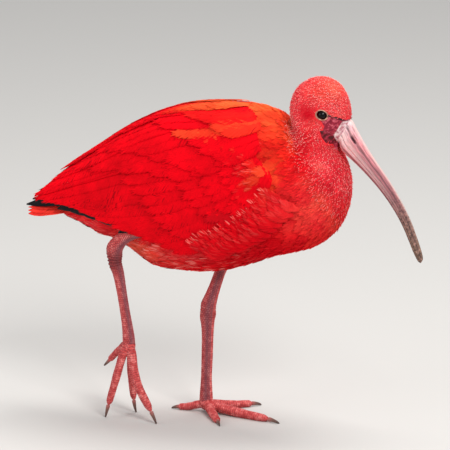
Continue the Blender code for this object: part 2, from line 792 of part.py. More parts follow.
def build_foot(side, toes, tarsus_end, collection, helpers, looks):
    """The palm, four toes that start on it, and their claws."""
    centre, radius = PALMS[side]
    up = FOOT_UP[side]
    palm = ball(f"foot_{side}", centre, (radius,) * 3, collection, 12, 8, looks["leg"])
    webs = new_collection("webs")
    for name, (points, claw_tip) in toes.items():
        rows = toe_rows(points)
        stub, toe = parted(tube_rings(rows, TOE_SIDES, up), 2)
        middle = (*centre, rows[0, 3], rows[0, 3])
        root = tube_rings([middle, *map(tuple, rows[:3])], TOE_SIDES, up)
        root[-1] = stub[-1]
        root[-2] = stub[-2]
        flattened(loft("web", root, webs))
        flattened(loft(f"toe_{side}_{name}", toe, collection, looks["leg"]))
        run = rows[-1, :3] - rows[-2, :3]
        run /= np.linalg.norm(run)
        build_claw(f"claw_{side}_{name}", rows[-1, :3], run, claw_tip, rows[-1, 3], collection, looks)
    boolean(palm, "UNION", webs)
    flattened(palm)
    cutter = loft("tarsus_cutter", tarsus_end, helpers)
    boolean(palm, "DIFFERENCE", cutter)
    keep_largest(palm)
    drop(cutter, *webs.objects)
    bpy.data.collections.remove(webs)


def grown_tube(rows, sides, grow):
    """Rings of a tube made larger all round, ends included."""
    rows = np.asarray(rows, float).copy()
    first = rows[0, :3] - rows[1, :3]
    last = rows[-1, :3] - rows[-2, :3]
    rows[:, 3:5] += grow
    rings = tube_rings(rows, sides)
    rings[0] += first / np.linalg.norm(first) * grow
    rings[-1] += last / np.linalg.norm(last) * grow
    return rings


def build_legs(torso, collection, helpers, looks):
    """Thighs sunk in the torso, then each leg down to its claws."""
    cutters = []
    for side, thigh, leg, toes in (
        ("right", RIGHT_THIGH, RIGHT_LEG, RIGHT_TOES),
        ("left", LEFT_THIGH, LEFT_LEG, LEFT_TOES),
    ):
        rows = spline(thigh, 2)
        rows = np.column_stack([rows, rows[:, 3]])
        sleeve = loft(f"thigh_{side}", tube_rings(rows, 18), collection, looks["plumage"])
        cutter = loft("thigh_cutter", grown_tube(rows, 18, GAP + 0.15), helpers)
        boolean(torso, "DIFFERENCE", cutter)
        leg_rows = spline(leg, 2)
        leg_cutter = loft("leg_cutter", grown_tube(leg_rows, LEG_SIDES, GAP), helpers)
        boolean(sleeve, "DIFFERENCE", leg_cutter)
        boolean(torso, "DIFFERENCE", leg_cutter)
        keep_largest(sleeve)
        build_leg(side, leg, collection, looks)
        build_foot(side, toes, grown_tube(leg_rows[-5:], LEG_SIDES, GAP), collection, helpers, looks)
        cutters += [cutter, leg_cutter]
    keep_largest(torso)
    return cutters


def centre_on_floor(collection):
    """Parents every piece to an empty that puts the middle of the bird's outline over the origin."""
    corners = [Vector(c) for obj in collection.objects for c in obj.bound_box]
    low = [min(c[i] for c in corners) for i in range(3)]
    high = [max(c[i] for c in corners) for i in range(3)]
    root = bpy.data.objects.new("ibis", None)
    root.location = (-(low[0] + high[0]) / 2, -(low[1] + high[1]) / 2, -low[2])
    for obj in collection.objects:
        obj.parent = root
    collection.objects.link(root)


def main():
    clear_scene()
    bird = new_collection("scarlet_ibis")
    helpers = new_collection("helpers")
    helpers.hide_render = True
    looks = {
        "plumage": material("scarlet_plumage", RED, 0.75),
        "wing": material("scarlet_wing", DEEP_RED, 0.6),
        "bill": material("bill_horn", DUSKY_PINK, 0.4),
        "leg": material("leg_scales", PINK, 0.55),
        "claw": material("claw_horn", BLACK, 0.4),
        "eye": material("eye_dark", BLACK, 0.08),
        "black": material("black_feather", BLACK, 0.5),
    }
    pieces, face_ring = build_body(bird, looks)
    build_eyes(pieces["head"], bird, helpers, looks)
    build_bill(face_ring, bird, helpers, looks)
    cutters = build_legs(pieces["torso"], bird, helpers, looks)
    body_cutter = loft("body_cutter", body_rings(GAP + 0.15), helpers)
    build_tail(body_rings()[0], bird, looks)
    tail_cutters = tail_keep_out(body_rings()[0], helpers)
    build_wings(bird, helpers, looks, (body_cutter, *cutters, *tail_cutters))
    drop(*helpers.objects)
    bpy.data.collections.remove(helpers)
    centre_on_floor(bird)


main()
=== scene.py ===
"""The finish of the scarlet ibis: skin, feathers, bill, eyes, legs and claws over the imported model.

Laid out as an add-on, one operator to a piece. Sizes in the tables are millimetres in the drawing
frame of the bird, whose floor is z = 0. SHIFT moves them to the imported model's frame.
"""

import math

import bpy
import numpy as np
from mathutils import Matrix, Vector
from mathutils.bvhtree import BVHTree
from mathutils.kdtree import KDTree


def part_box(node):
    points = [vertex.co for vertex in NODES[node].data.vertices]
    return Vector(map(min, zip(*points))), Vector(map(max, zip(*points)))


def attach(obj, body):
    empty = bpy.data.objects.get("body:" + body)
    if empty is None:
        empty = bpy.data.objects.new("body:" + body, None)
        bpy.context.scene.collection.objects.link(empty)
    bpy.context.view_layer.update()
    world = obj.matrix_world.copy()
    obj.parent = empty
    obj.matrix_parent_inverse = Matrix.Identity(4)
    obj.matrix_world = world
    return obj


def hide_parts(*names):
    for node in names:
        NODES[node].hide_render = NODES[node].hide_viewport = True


bl_info = {
    "name": "Scarlet Ibis Finish",
    "version": (1, 0, 0),
    "blender": (4, 5, 0),
    "location": "View3D > Sidebar > Ibis",
    "description": "Skin, plumage, bill, eyes, legs and stage for the scarlet ibis",
    "category": "Object",
}

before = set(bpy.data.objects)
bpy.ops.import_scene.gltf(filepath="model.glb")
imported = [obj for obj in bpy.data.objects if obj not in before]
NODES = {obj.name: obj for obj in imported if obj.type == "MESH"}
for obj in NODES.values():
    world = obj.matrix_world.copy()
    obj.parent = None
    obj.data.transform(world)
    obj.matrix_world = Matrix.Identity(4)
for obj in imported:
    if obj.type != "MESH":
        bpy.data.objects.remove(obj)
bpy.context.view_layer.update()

MM = 0.001
MERGED = 0.00001  # points nearer than this many metres are merged
SKIN_VOXEL, LEG_VOXEL = 1.3, 0.5
EYE = np.array((108.9, 15.5, 309.0))  # middle of the left eyeball
EYE_RADIUS = 5
eye_low, eye_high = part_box("eye_left")
SHIFT = np.array((eye_low + eye_high) / 2) / MM - EYE

# Body sections, tail end to bill root: back x, back z, belly x, belly z, half width, narrowing
BODY_SECTIONS = (
    (-101, 258, -101, 170, 24, 0.30),
    (-81, 273, -83, 161, 32, 0.34),
    (-55, 289, -60, 145.5, 40, 0.30),
    (-25, 300, -28, 142.5, 45.5, 0.22),
    (5, 307.5, 0, 143.5, 48, 0.14),
    (34, 312.5, 30, 151, 47.5, 0.10),
    (55, 309.5, 62, 163.5, 45, 0.08),
    (66, 305, 96, 173, 41, 0.06),
    (71, 300, 121, 192.5, 37, 0.02),
    (76.5, 292, 131.8, 215, 33, 0.0),
    (76.5, 295.5, 134.2, 236, 29.5, 0.0),
    (74, 303, 131, 255, 26.5, 0.0),
    (73.5, 313, 123.5, 268.5, 23.2, 0.0),
    (78, 327, 119.3, 273.8, 21.4, 0.0),
    (88, 337, 118.2, 275.9, 19.8, 0.0),
    (101, 342, 118.4, 277.3, 18.4, 0.0),
    (115.5, 340, 118.8, 278.2, 16.9, 0.0),
    (125.5, 331.5, 119.2, 278.6, 14.6, 0.0),
    (130.8, 320, 119.7, 278.7, 12.2, 0.0),
    (133.0, 309.3, 120.2, 278.5, 10.2, 0.0),
    (133.0, 301.0, 120.9, 278.2, 8.8, 0.0),
)
TAIL_CORE = (  # x, top z, bottom z, half width, from the rump to the tip
    (-96, 256, 171, 25),
    (-112, 248, 172.5, 21),
    (-126, 233, 180, 16.5),
    (-140, 215, 186.5, 12),
    (-152, 202, 191.5, 9),
)
SECTION_STEPS = 10  # rings of the body's map from one section to the next
FLESH = ("torso", "neck_lower", "neck_upper", "head", "thigh_left", "thigh_right")

# The rounder shape that the folded wings lie on: x, top z, bottom z, half width
ENVELOPE = (
    (-190, 202.5, 194, 9),
    (-167, 222, 185, 17),
    (-143, 241, 178, 23),
    (-113, 262.5, 166, 32.5),
    (-84, 282.5, 158, 41.5),
    (-54, 298, 150, 49),
    (-25, 307.5, 142, 53.5),
    (5, 311.5, 138, 55.5),
    (34, 314, 143, 54.5),
    (59, 310.5, 152, 51),
    (84, 300, 160, 46),
)
WING_CORE = (  # x, upper edge z, lower edge z
    (67, 256, 246),
    (55, 270, 234),
    (38, 286, 218),
    (15, 297, 200),
    (-10, 302, 188),
    (-35, 297, 184),
    (-60, 287, 190),
    (-85, 273, 197),
    (-105, 260, 205),
    (-118, 248, 214),
)

# Wing feather tiers: count, width, depths under the envelope at root and tip, how far the loose barbs
# reach (edge, in half widths, else EDGE), raggedness of the edge (fray, else FRAY), lines of the roots
# and tips (x, z)
EDGE, FRAY = 1.04, 0.14
WING_TIERS = (
    dict(count=13, width=18, depths=(4.8, 2.7), edge=0.7, fray=0.03,  # secondaries
         roots=((32, 216), (5, 226), (-25, 258)),
         tips=((-30, 168), (-62, 179.5), (-95, 189), (-127, 201), (-146, 207), (-163, 206), (-173, 206.5))),
    dict(count=6, width=19, depths=(4.4, 1.7), edge=0.75, fray=0.05,  # tertials
         roots=((-25, 262), (-5, 282), (6, 298)),
         tips=((-175, 211), (-162, 222), (-144, 238.5))),
    dict(count=11, width=17, depths=(4.3, 1.8),  # greater coverts
         roots=((46, 226), (25, 240), (0, 268)),
         tips=((-6, 184), (-34, 190), (-62, 216), (-88, 246))),
    dict(count=10, width=16, depths=(4.0, 1.4),  # median coverts
         roots=((57, 240), (42, 258), (22, 280)),
         tips=((24, 204), (4, 207), (-18, 228), (-38, 256))),
    dict(count=9, width=14, depths=(3.7, 1.1),  # lesser coverts low
         roots=((62, 246), (50, 262), (32, 282)),
         tips=((36, 213), (18, 218), (0, 236), (-14, 262))),
    dict(count=9, width=13, depths=(3.5, 0.85),  # lesser coverts high
         roots=((65, 252), (56, 267), (42, 285)),
         tips=((46, 224), (33, 230), (20, 248), (10, 270))),
    dict(count=7, width=20, depths=(4.0, 0.9),  # scapulars long
         roots=((20, 276), (12, 288), (4, 301)),
         tips=((-34, 248), (-72, 248), (-104, 244), (-135, 240))),
    dict(count=8, width=19, depths=(3.6, 0.55),  # scapulars
         roots=((40, 276), (34, 290), (22, 303), (14, 309)),
         tips=((-8, 256), (-44, 262), (-80, 264), (-114, 257))),
    dict(count=8, width=17, depths=(3.2, 0.3),  # scapulars short
         roots=((54, 282), (50, 293), (40, 304), (32, 311)),
         tips=((22, 264), (0, 272), (-24, 284), (-52, 292), (-66, 291.5))),
    dict(count=6, width=18, depths=(3.2, 0.9),  # lower back
         roots=((-20, 298), (-12, 305)),
         tips=((-92, 270), (-110, 262), (-124, 254.2))),
    dict(count=7, width=16, depths=(3.0, 0.15),  # back row
         roots=((52, 300), (44, 308), (36, 312.5)),
         tips=((14, 290), (-10, 301), (-40, 302.4), (-56, 296.9))),
)
# The black primaries turn up late along their length (late) and the last of them rise at the tip
PRIMARIES = dict(count=8, width=12, depths=(6.0, 5.0), rise=4.2, late=5,
                 roots=((-44, 182.5), (-52, 210), (-52, 226)),
                 tips=((-90, 180), (-118, 196.5), (-137, 196.2), (-152, 199.4), (-170, 206.5),
                       (-185.5, 200.5)))
VANE_CLEARANCE, BARB_CLEARANCE = 0.25, 0.2  # between the wings' pieces and the bird's midline
SHOULDER_SPACING = 4.4
WING_FRONT = ((15, 297), (38, 286), (55, 270), (67, 256), (67, 246), (55, 234), (38, 218))
# Rows of flank feathers that reach over the lower front edge of the wing, the hindmost first, each
# some way forward of the line of roots and tips (x, z)
FLANK_LINE = {
    "roots": ((74, 231), (59, 214), (44, 198), (28, 189), (14, 184), (4, 176)),
    "tips": ((56, 242), (41, 226), (26, 210), (9, 200), (-5, 195), (-15, 186)),
}
FLANK_ROWS = tuple(
    dict(count=15, width=12, depths=depths,
         **{end: [(x + ahead * 0.86, z - ahead * 0.5) for x, z in line] for end, line in FLANK_LINE.items()})
    for ahead, depths in ((0, (4.5, 0.9)), (7, (5.0, 0.6)), (14, (5.5, 0.3)), (21, (6.0, 0.6))))
PAINTED_LIGHT_FEATHERS = (  # x, z and strength of the painted light, in orange, on the single feathers there
    (-14, 292, 0.3), (18, 295, 0.3), (-105, 246, 0.7), (-74, 236, 0.4), (-162, 212, 0.5))
TAIL_ROOT, TAIL_TIP = (-128, 201), (-185.5, 193.6)
TAIL_HALF_WIDTH, TAIL_FEATHER_WIDTH, RECTRICES = 12.5, 12, 12

# Contour feathers by body section: section, length, width, spacing, lift of the tip
FEATHERS = (
    (-3, 24, 12, 5.6, 1.0),
    (0, 24, 13, 5.8, 1.0),
    (3, 23, 13, 5.8, 1.0),
    (6, 19, 11, 5.0, 1.0),
    (7.5, 14, 8.5, 4.0, 1.0),
    (9, 9, 5.2, 2.7, 1.1),
)
# Loose tufts of neck and head: section, length, width, spacing, lift
TUFTS = (
    (7.2, 6.6, 1.45, 1.4, 1.5),
    (9, 4.2, 1.1, 1.0, 1.3),
    (11, 3.5, 1.0, 0.84, 1.15),
    (13, 3.0, 0.95, 0.78, 1.05),
    (17, 2.6, 0.9, 0.72, 1.0),
    (20, 2.2, 0.85, 0.72, 0.8),
)

# Bill: culmen x, culmen z, lower edge x, lower edge z, half width, from the face to the tip
BILL_SECTIONS = (
    (129.0, 303.0, 118.0, 281.2, 7.2),
    (133.4, 300.6, 121.6, 278.9, 8.6),
    (138.6, 291.4, 124.6, 271.4, 8.2),
    (147.0, 277.2, 133.9, 263.2, 7.3),
    (157.7, 261.4, 145.6, 252.4, 6.3),
    (168.7, 246.4, 158.0, 239.2, 5.4),
    (177.5, 232.7, 168.3, 226.4, 4.8),
    (185.4, 218.6, 176.8, 213.7, 4.3),
    (191.9, 205.0, 183.7, 201.1, 3.9),
    (197.1, 191.3, 189.3, 188.2, 3.6),
    (200.9, 180.3, 193.6, 177.8, 3.3),
    (203.0, 172.3, 197.4, 170.2, 2.8),
    (202.7, 167.4, 200.2, 166.2, 1.6),
)
MOUTH_LINE = 0.36  # share of the bill's depth that the lower half takes

# The bare face in the side view (x, z): whole outline, lore, fleshy gape and horny base of the bill
FACE_OUTLINE = ((134.5, 302.8), (129.2, 302.6), (122.3, 306), (112.7, 309.6), (108.5, 303), (111.3, 297.5),
                (109.6, 294.2), (106.6, 293.4), (108.4, 287), (112, 281), (116, 278.8), (120.8, 277.6),
                (126, 276), (136, 290))
LORE_EDGE = ((112.7, 309.4), (122.3, 305.8), (129.2, 302.3), (134, 301.7))
GAPE_PATCH = ((106.8, 293.2), (110.3, 293.7), (117.4, 290.1), (121.4, 283.4), (120.6, 279), (116, 279.1),
              (112.3, 281.3), (108.8, 287))
HORN_BASE = ((134, 301.8), (126.8, 301.2), (122.6, 293.8), (119.2, 288.6), (120.8, 282.6), (121, 276),
             (130, 276), (138, 290))

# Legs: x, y, z of the centre line, half width across and along the stride
LEGS = {
    "right": (
        (-50, -29.5, 187.5, 4.8, 5.2), (-64, -29, 186, 4.7, 5.1), (-77, -27, 181.5, 4.9, 5.6),
        (-87, -25, 174.5, 6.2, 6.8), (-92.5, -23.5, 165, 6.9, 7.4), (-92.8, -22.5, 154, 6.0, 6.6),
        (-89.5, -21.5, 141, 4.9, 5.4), (-86.3, -21, 122, 4.2, 4.7), (-83.4, -20.5, 103, 4.2, 4.7),
        (-81.2, -20, 88, 4.6, 5.2), (-80, -20, 76, 5.4, 5.9),
    ),
    "left": (
        (4.5, 19.5, 148, 4.8, 5.2), (0.4, 17.6, 139, 4.8, 5.2), (-4.2, 15.8, 125, 5.0, 5.5),
        (-8.6, 14, 111, 6.0, 6.6), (-10.6, 13, 99.5, 6.6, 7.2), (-10.8, 13, 88, 5.7, 6.3),
        (-10.9, 13, 76, 4.9, 5.6), (-11.4, 13.2, 56, 4.7, 5.4), (-12.3, 13.8, 34, 4.6, 5.2),
        (-12.6, 14, 20, 5.4, 6.0), (-12.6, 14, 11.5, 5.8, 6.4),
    ),
}
HOCKS = {"right": (62, 1.0), "left": (50, 0.3)}  # along the leg from its top, how deep its folds are
DUSKY_SIDES = {"right": 2.36, "left": 2.95}  # turn round the leg of its dusky violet band
SCALE_LENGTH, PLATE_LENGTH, SCALES_AROUND = 1.9, 2.3, 15
HOCK_KNOBS = {  # along the leg from its top, turn round it, height
    "right": ((50, -1.6, 0.9), (58, 1.4, 0.8), (66, -2.6, 0.7)),
    "left": ((44, -1.6, 1.0), (53, 1.5, 0.9), (48, 0.0, 0.7), (57, -1.8, 0.6)),
}
PALMS = {"left": ((-12.6, 14, 8.2), 6.6), "right": ((-80, -20, 70.5), 6.4)}
# Toes: centre line x, y, z and half width, then the tip of the claw
TOES = {
    "left": {
        "hallux": (((-21, 14, 6.2, 3.6), (-31, 14.2, 3.4, 3.3), (-40.5, 14.4, 2.5, 2.7)),
                   (-47.5, 14.8, 0.35)),
        "inner": (((-7, 5.5, 6.2, 4.1), (1, -9, 3.6, 3.8), (9, -23.5, 2.7, 3.0)),
                   (13, -31.5, 0.35)),
        "middle": (((-3, 11, 6.6, 4.7), (24, 3.6, 4.0, 4.3), (55, -5.3, 2.8, 3.2)),
                   (66, -8.5, 0.35)),
        "outer": (((-5, 20, 6.2, 4.1), (10, 31, 3.6, 3.8), (26, 42.5, 2.7, 3.0)),
                   (33.5, 48, 0.35)),
    },
    "right": {
        "hallux": (((-85.5, -15.5, 69, 3.4), (-94, -13.5, 60.5, 3.1), (-102, -12, 51.5, 2.5)),
                   (-107.5, -11, 45.5)),
        "inner": (((-79.5, -14.5, 66, 3.8), (-80.8, -9, 40, 3.6), (-78.8, -7, 11.5, 2.8)),
                   (-76.5, -6.5, -0.7)),
        "middle": (((-76.6, -24, 65, 4.4), (-70, -29.5, 38, 4.2), (-53.5, -36, 10.5, 3.1)),
                   (-47.5, -38.5, -0.7)),
        "outer": (((-83.6, -25, 66, 3.8), (-91, -27.5, 38, 3.6), (-98.3, -28.5, 11.5, 2.8)),
                   (-100.8, -30, -0.7)),
    },
}

CAMERA_TURN, CAMERA_RISE = math.radians(15), math.radians(15)
CAMERA_DISTANCE, CAMERA_LENS = 6.055, 505.3
CAMERA_TARGET = (0.0095, 0.18335)  # metres right of and above the model's middle, as the camera sees it

# Where the plumage is paler, and where shade is painted on it, in the side view: x and z, radii, strength
PALE_SPOTS = (((-60, 161), (28, 16), 1.0), ((-112, 180), (28, 11), 0.6), ((-5, 168), (18, 9), 0.6),
              ((94, 281), (12, 13), -0.45))
SHADE_SPOTS = (((102, 280), (14, 4), 0.45), ((50, 176), (40, 16), 0.3), ((10, 176), (26, 10), 0.25))

SHARED = {}  # surfaces that later pieces are laid on


# Settings


class PlumageSettings(bpy.types.PropertyGroup):
    scarlet: bpy.props.FloatVectorProperty(
        name="Scarlet", description="Colour of the body feathers", subtype="COLOR", size=4,
        min=0, max=1, default=(0.738, 0.0, 0.0056, 1))
    coat_depth: bpy.props.FloatProperty(
        name="Coat depth", description="How far the skin lies under the tips of the body feathers",
        default=1.9 * MM, unit="LENGTH")
    seed: bpy.props.IntProperty(
        name="Seed", description="Start of the random spread of the feathers", default=11)


class StageSettings(bpy.types.PropertyGroup):
    distance: bpy.props.FloatProperty(
        name="Camera distance", description="From the camera to the bird", default=CAMERA_DISTANCE,
        unit="LENGTH")
    lens: bpy.props.FloatProperty(
        name="Lens", description="Focal length in millimetres", default=CAMERA_LENS)
    key_power: bpy.props.FloatProperty(
        name="Key light", description="Power of the main soft light in watts", default=34)


# Small tools


def colour(code):
    """Linear colour of an sRGB hex code."""
    parts = [int(code[i : i + 2], 16) / 255 for i in (1, 3, 5)]
    return tuple(p / 12.92 if p <= 0.04045 else ((p + 0.055) / 1.055) ** 2.4 for p in parts) + (1.0,)


SHADER_NODES = {  # word: Blender's node, its inputs in order, its output, the property its mode sets
    "attribute": ("ShaderNodeAttribute", (), "Fac", "attribute_name"),
    "bump": ("ShaderNodeBump", ("Height",), "Normal", ""),
    "join": ("ShaderNodeCombineXYZ", ("X", "Y", "Z"), "Vector", ""),
    "math": ("ShaderNodeMath", (0, 1), 0, "operation"),
    "mix": ("ShaderNodeMix", (0, 6, 7), 2, "blend_type"),
    "noise": ("ShaderNodeTexNoise", ("Vector",), "Fac", ""),
    "place": ("ShaderNodeTexCoord", (), "Object", ""),
    "ramp": ("ShaderNodeValToRGB", ("Fac", "stops"), "Color", ""),
    "split": ("ShaderNodeSeparateXYZ", ("Vector",), "Y", ""),
    "uv": ("ShaderNodeUVMap", (), "UV", "uv_map"),
    "voronoi": ("ShaderNodeTexVoronoi", ("Vector",), "Distance", ""),
    "wave": ("ShaderNodeTexWave", ("Vector",), "Fac", ""),
}


def node(tree, kind, *inputs, **settings):
    """Adds one shader node with its settings, links or sets its inputs in order, and gives its output."""
    word, _, mode = kind.partition(" ")
    name, sockets, output, mode_name = SHADER_NODES[word]
    made = tree.nodes.new(name)
    if word == "mix":
        made.data_type = "RGBA"
    if mode:
        settings[mode_name] = mode
    for key, value in settings.items():
        if hasattr(made, key):
            setattr(made, key, value)
        else:
            made.inputs[key].default_value = value
    for key, value in zip(sockets, inputs):
        if key == "stops":  # places with a hex colour or a grey
            elements = made.color_ramp.elements
            while len(elements) < len(value):
                elements.new(0.5)
            for element, (place, shade) in zip(elements, value):
                element.position = place
                element.color = colour(shade) if isinstance(shade, str) else (shade, shade, shade, 1)
        elif isinstance(value, bpy.types.NodeSocket):
            tree.links.new(value, made.inputs[key])
        else:
            made.inputs[key].default_value = value
    return made.outputs[output]


def finish_material(name, **sockets):
    """A new Principled material with plain values on its sockets."""
    made = bpy.data.materials.new(name)
    made.use_nodes = True
    shader = made.node_tree.nodes["Principled BSDF"]
    for key, value in sockets.items():
        shader.inputs[key.replace("_", " ")].default_value = value
    return made, made.node_tree, shader


def surfaced(tree, shader, tone, height, strength, depth):
    """Links the colour and a fine relief, its depth in metres, to the shader."""
    tree.links.new(tone, shader.inputs["Base Color"])
    tree.links.new(node(tree, "bump", height, Strength=strength, Distance=depth), shader.inputs["Normal"])


def deselect():
    bpy.ops.object.select_all(action="DESELECT")


def activate(obj):
    """Leaves obj as the only selected and active object."""
    deselect()
    obj.select_set(True)
    bpy.context.view_layer.objects.active = obj


def points_of(obj):
    """Vertex places of an object, in millimetres of the drawing frame."""
    flat = np.empty(len(obj.data.vertices) * 3)
    obj.data.vertices.foreach_get("co", flat)
    return flat.reshape(-1, 3) / MM - SHIFT


def place_points(obj, places):
    """Sets an object's vertices from millimetres of the drawing frame."""
    obj.data.vertices.foreach_set("co", ((np.asarray(places) + SHIFT) * MM).ravel())
    obj.data.update()


def apply_all(obj):
    """Applies an object's modifiers."""
    activate(obj)
    for modifier in list(obj.modifiers):
        bpy.ops.object.modifier_apply(modifier=modifier.name)


def spline(rows, steps):
    """Rows of numbers, thickened to a smooth curve with that many steps between two rows."""
    rows = np.asarray(rows, float)
    ends = np.vstack([2 * rows[0] - rows[1], rows, 2 * rows[-1] - rows[-2]])
    made = []
    for i in range(1, len(ends) - 2):
        before, here, after, later = ends[i - 1 : i + 3]
        for t in np.arange(steps) / steps:
            made.append(0.5 * (2 * here + (after - before) * t
                               + (2 * before - 5 * here + 4 * after - later) * t**2
                               + (3 * here - before - 3 * after + later) * t**3))
    made.append(rows[-1])
    return np.array(made)


def rows_at(rows, share):
    """Rows of numbers at shares of the way, by index, along a list of rows."""
    rows = np.asarray(rows, float)
    place = np.clip(share, 0, 1) * (len(rows) - 1)
    return np.stack([np.interp(place, np.arange(len(rows)), column) for column in rows.T], axis=-1)


def smoothstep(low, high, value):
    t = np.clip((np.asarray(value, float) - low) / (high - low), 0, 1)
    return t * t * (3 - 2 * t)


def swell(value, middle, width):
    """A soft bump, 1 at the middle."""
    return np.exp(-(((value - middle) / width) ** 2))


def closed_ends(share, first, last):
    """How wide a tube is near its two rounded ends, 0 to 1."""
    return np.sqrt(np.clip(np.minimum(share * first, (1 - share) * last), 0, 1))


def unit(vectors):
    vectors = np.asarray(vectors, float)
    return vectors / np.maximum(np.linalg.norm(vectors, axis=-1, keepdims=True), 1e-9)


def length_of(lines):
    """Lengths of lines of points."""
    return np.linalg.norm(np.diff(lines, axis=-2), axis=-1).sum(axis=-1)


def edited(**steps):
    """Runs mesh operators, given with their options, on all of the active object in edit mode."""
    bpy.ops.object.mode_set(mode="EDIT")
    bpy.ops.mesh.select_all(action="SELECT")
    for name, options in steps.items():
        getattr(bpy.ops.mesh, name)(**options)
    bpy.ops.object.mode_set(mode="OBJECT")


def grid_of(name, columns, rows):
    """A new grid primitive, and its points from -0.5 to 0.5."""
    deselect()
    bpy.ops.mesh.primitive_grid_add(x_subdivisions=columns, y_subdivisions=rows, size=1)
    obj = bpy.context.object
    obj.name = obj.data.name = name
    flat = np.empty(len(obj.data.vertices) * 3)
    obj.data.vertices.foreach_get("co", flat)
    return obj, flat.reshape(-1, 3)


def ball_of(centre, radius, segments, rings):
    """A new sphere primitive whose points hold its place."""
    deselect()
    bpy.ops.mesh.primitive_uv_sphere_add(segments=segments, ring_count=rings, radius=radius * MM,
                                         location=(np.array(centre) + SHIFT) * MM)
    bpy.ops.object.transform_apply(location=True, rotation=True, scale=True)
    return bpy.context.object


def one_surface(parts, name, voxel, rounds, merge=False):
    """Joins closed parts to one skin: remeshed at a voxel size in millimetres, then smoothed."""
    deselect()
    for part in parts:
        part.select_set(True)
    bpy.context.view_layer.objects.active = parts[0]
    bpy.ops.object.join()
    skin = bpy.context.object
    skin.name = skin.data.name = name
    if merge:
        edited(remove_doubles=dict(threshold=MERGED))
    remesh = skin.modifiers.new("one_surface", "REMESH")
    remesh.mode, remesh.voxel_size = "VOXEL", voxel * MM
    smooth = skin.modifiers.new("even_out", "SMOOTH")
    smooth.iterations, smooth.factor = rounds, 0.5
    apply_all(skin)
    return skin


def rolled(name, around, lengthwise, shape):
    """A grid primitive rolled into a closed tube. shape takes turn, 0 to 2 pi, and share, 0 to 1."""
    obj, grid = grid_of(name, around, lengthwise)
    place_points(obj, shape(2 * math.pi * (grid[:, 0] + 0.5), grid[:, 1] + 0.5))
    edited(remove_doubles=dict(threshold=MERGED), normals_make_consistent=dict(inside=False))
    bpy.ops.object.shade_smooth()
    return obj


def keep_piece(obj, look, slot, *replaced):
    """Gives a finished piece its material, lets it ride, and puts it in place of CAD nodes."""
    obj.data.materials.clear()
    obj.data.materials.append(look)
    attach(obj, "root")
    if replaced:
        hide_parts(*replaced)


def store(mesh, name, values):
    """A float attribute on the points of a mesh."""
    made = mesh.attributes.new(name, "FLOAT", "POINT")
    made.data.foreach_set("value", np.asarray(values, np.float32).ravel())


def surface_tree(*objects):
    """A search tree over the faces of some objects, in millimetres of the drawing frame."""
    places, faces, offset = [], [], 0
    for obj in objects:
        here = points_of(obj)
        places.extend(Vector(p) for p in here)
        faces.extend([offset + i for i in polygon.vertices] for polygon in obj.data.polygons)
        offset += len(here)
    return BVHTree.FromPolygons(places, faces)


# The body's own sections, used to tell where on the bird a point lies and how feathers lie there


def body_ring(sections, turns):
    """Points of the body's outline at turns round it, for one section or for one to each turn."""
    back_x, back_z, belly_x, belly_z, half_width, narrowing = np.asarray(sections, float).T
    down = (1 - np.cos(turns)) / 2
    return np.stack([back_x + (belly_x - back_x) * down,
                     half_width * np.sin(turns) * (1 - narrowing * down**2),
                     back_z + (belly_z - back_z) * down], axis=-1)


def nearest_finder(places):
    """A function that gives the index of the nearest of some places to each point."""
    tree = KDTree(len(places))
    for i, place in enumerate(places):
        tree.insert(Vector(place), i)
    tree.balance()
    return lambda points: np.array([tree.find(Vector(p))[1] for p in points])


class BodyMap:
    """Finds, for any point, its section, its turn round the body and the lie of the feathers."""

    def __init__(self):
        tail = [(x, top, x, bottom, half, 0.1) for x, top, bottom, half in TAIL_CORE[:0:-1]]
        rows = spline((*tail, *BODY_SECTIONS), SECTION_STEPS)
        turns = np.linspace(0, 2 * math.pi, 48, endpoint=False)
        made = []
        for i, row in enumerate(rows):
            across = np.array((row[2] - row[0], 0, row[3] - row[1]))
            lie = unit(np.cross((0, 1, 0), across))
            for turn, point in zip(turns, body_ring(row, turns)):
                made.append((point, i / SECTION_STEPS - len(tail), turn, lie))
        points, self.sections, self.turns, self.lies = (np.array(part) for part in zip(*made))
        self.nearest = nearest_finder(points)

    def at(self, points):
        found = self.nearest(points)
        return self.sections[found], self.turns[found], self.lies[found]


def bake_patch(turns, sections):
    """Where a root lies on the unwrap of the body's skin: round the body across, tail to bill up."""
    across = 0.03 + 0.94 * np.asarray(turns) / (2 * math.pi)
    up = 0.03 + 0.94 * (np.asarray(sections) + 4) / 25
    return np.stack([across, up], axis=-1)


# Feathers


UV_SPREAD = 40  # millimetres over which the vanes are strewn on their own map
PATCH_HALF = 0.0015  # half the patch that a feather takes on the baked map
SHAPES = {  # share of the length, share of the width
    "body": ((0, 0.35), (0.2, 0.62), (0.5, 0.96), (0.7, 1.0), (0.86, 0.84), (0.95, 0.52), (1, 0.14)),
    "long": ((0, 0.5), (0.1, 0.75), (0.3, 0.95), (0.6, 1.0), (0.82, 0.9), (0.94, 0.58), (1, 0.12)),
}


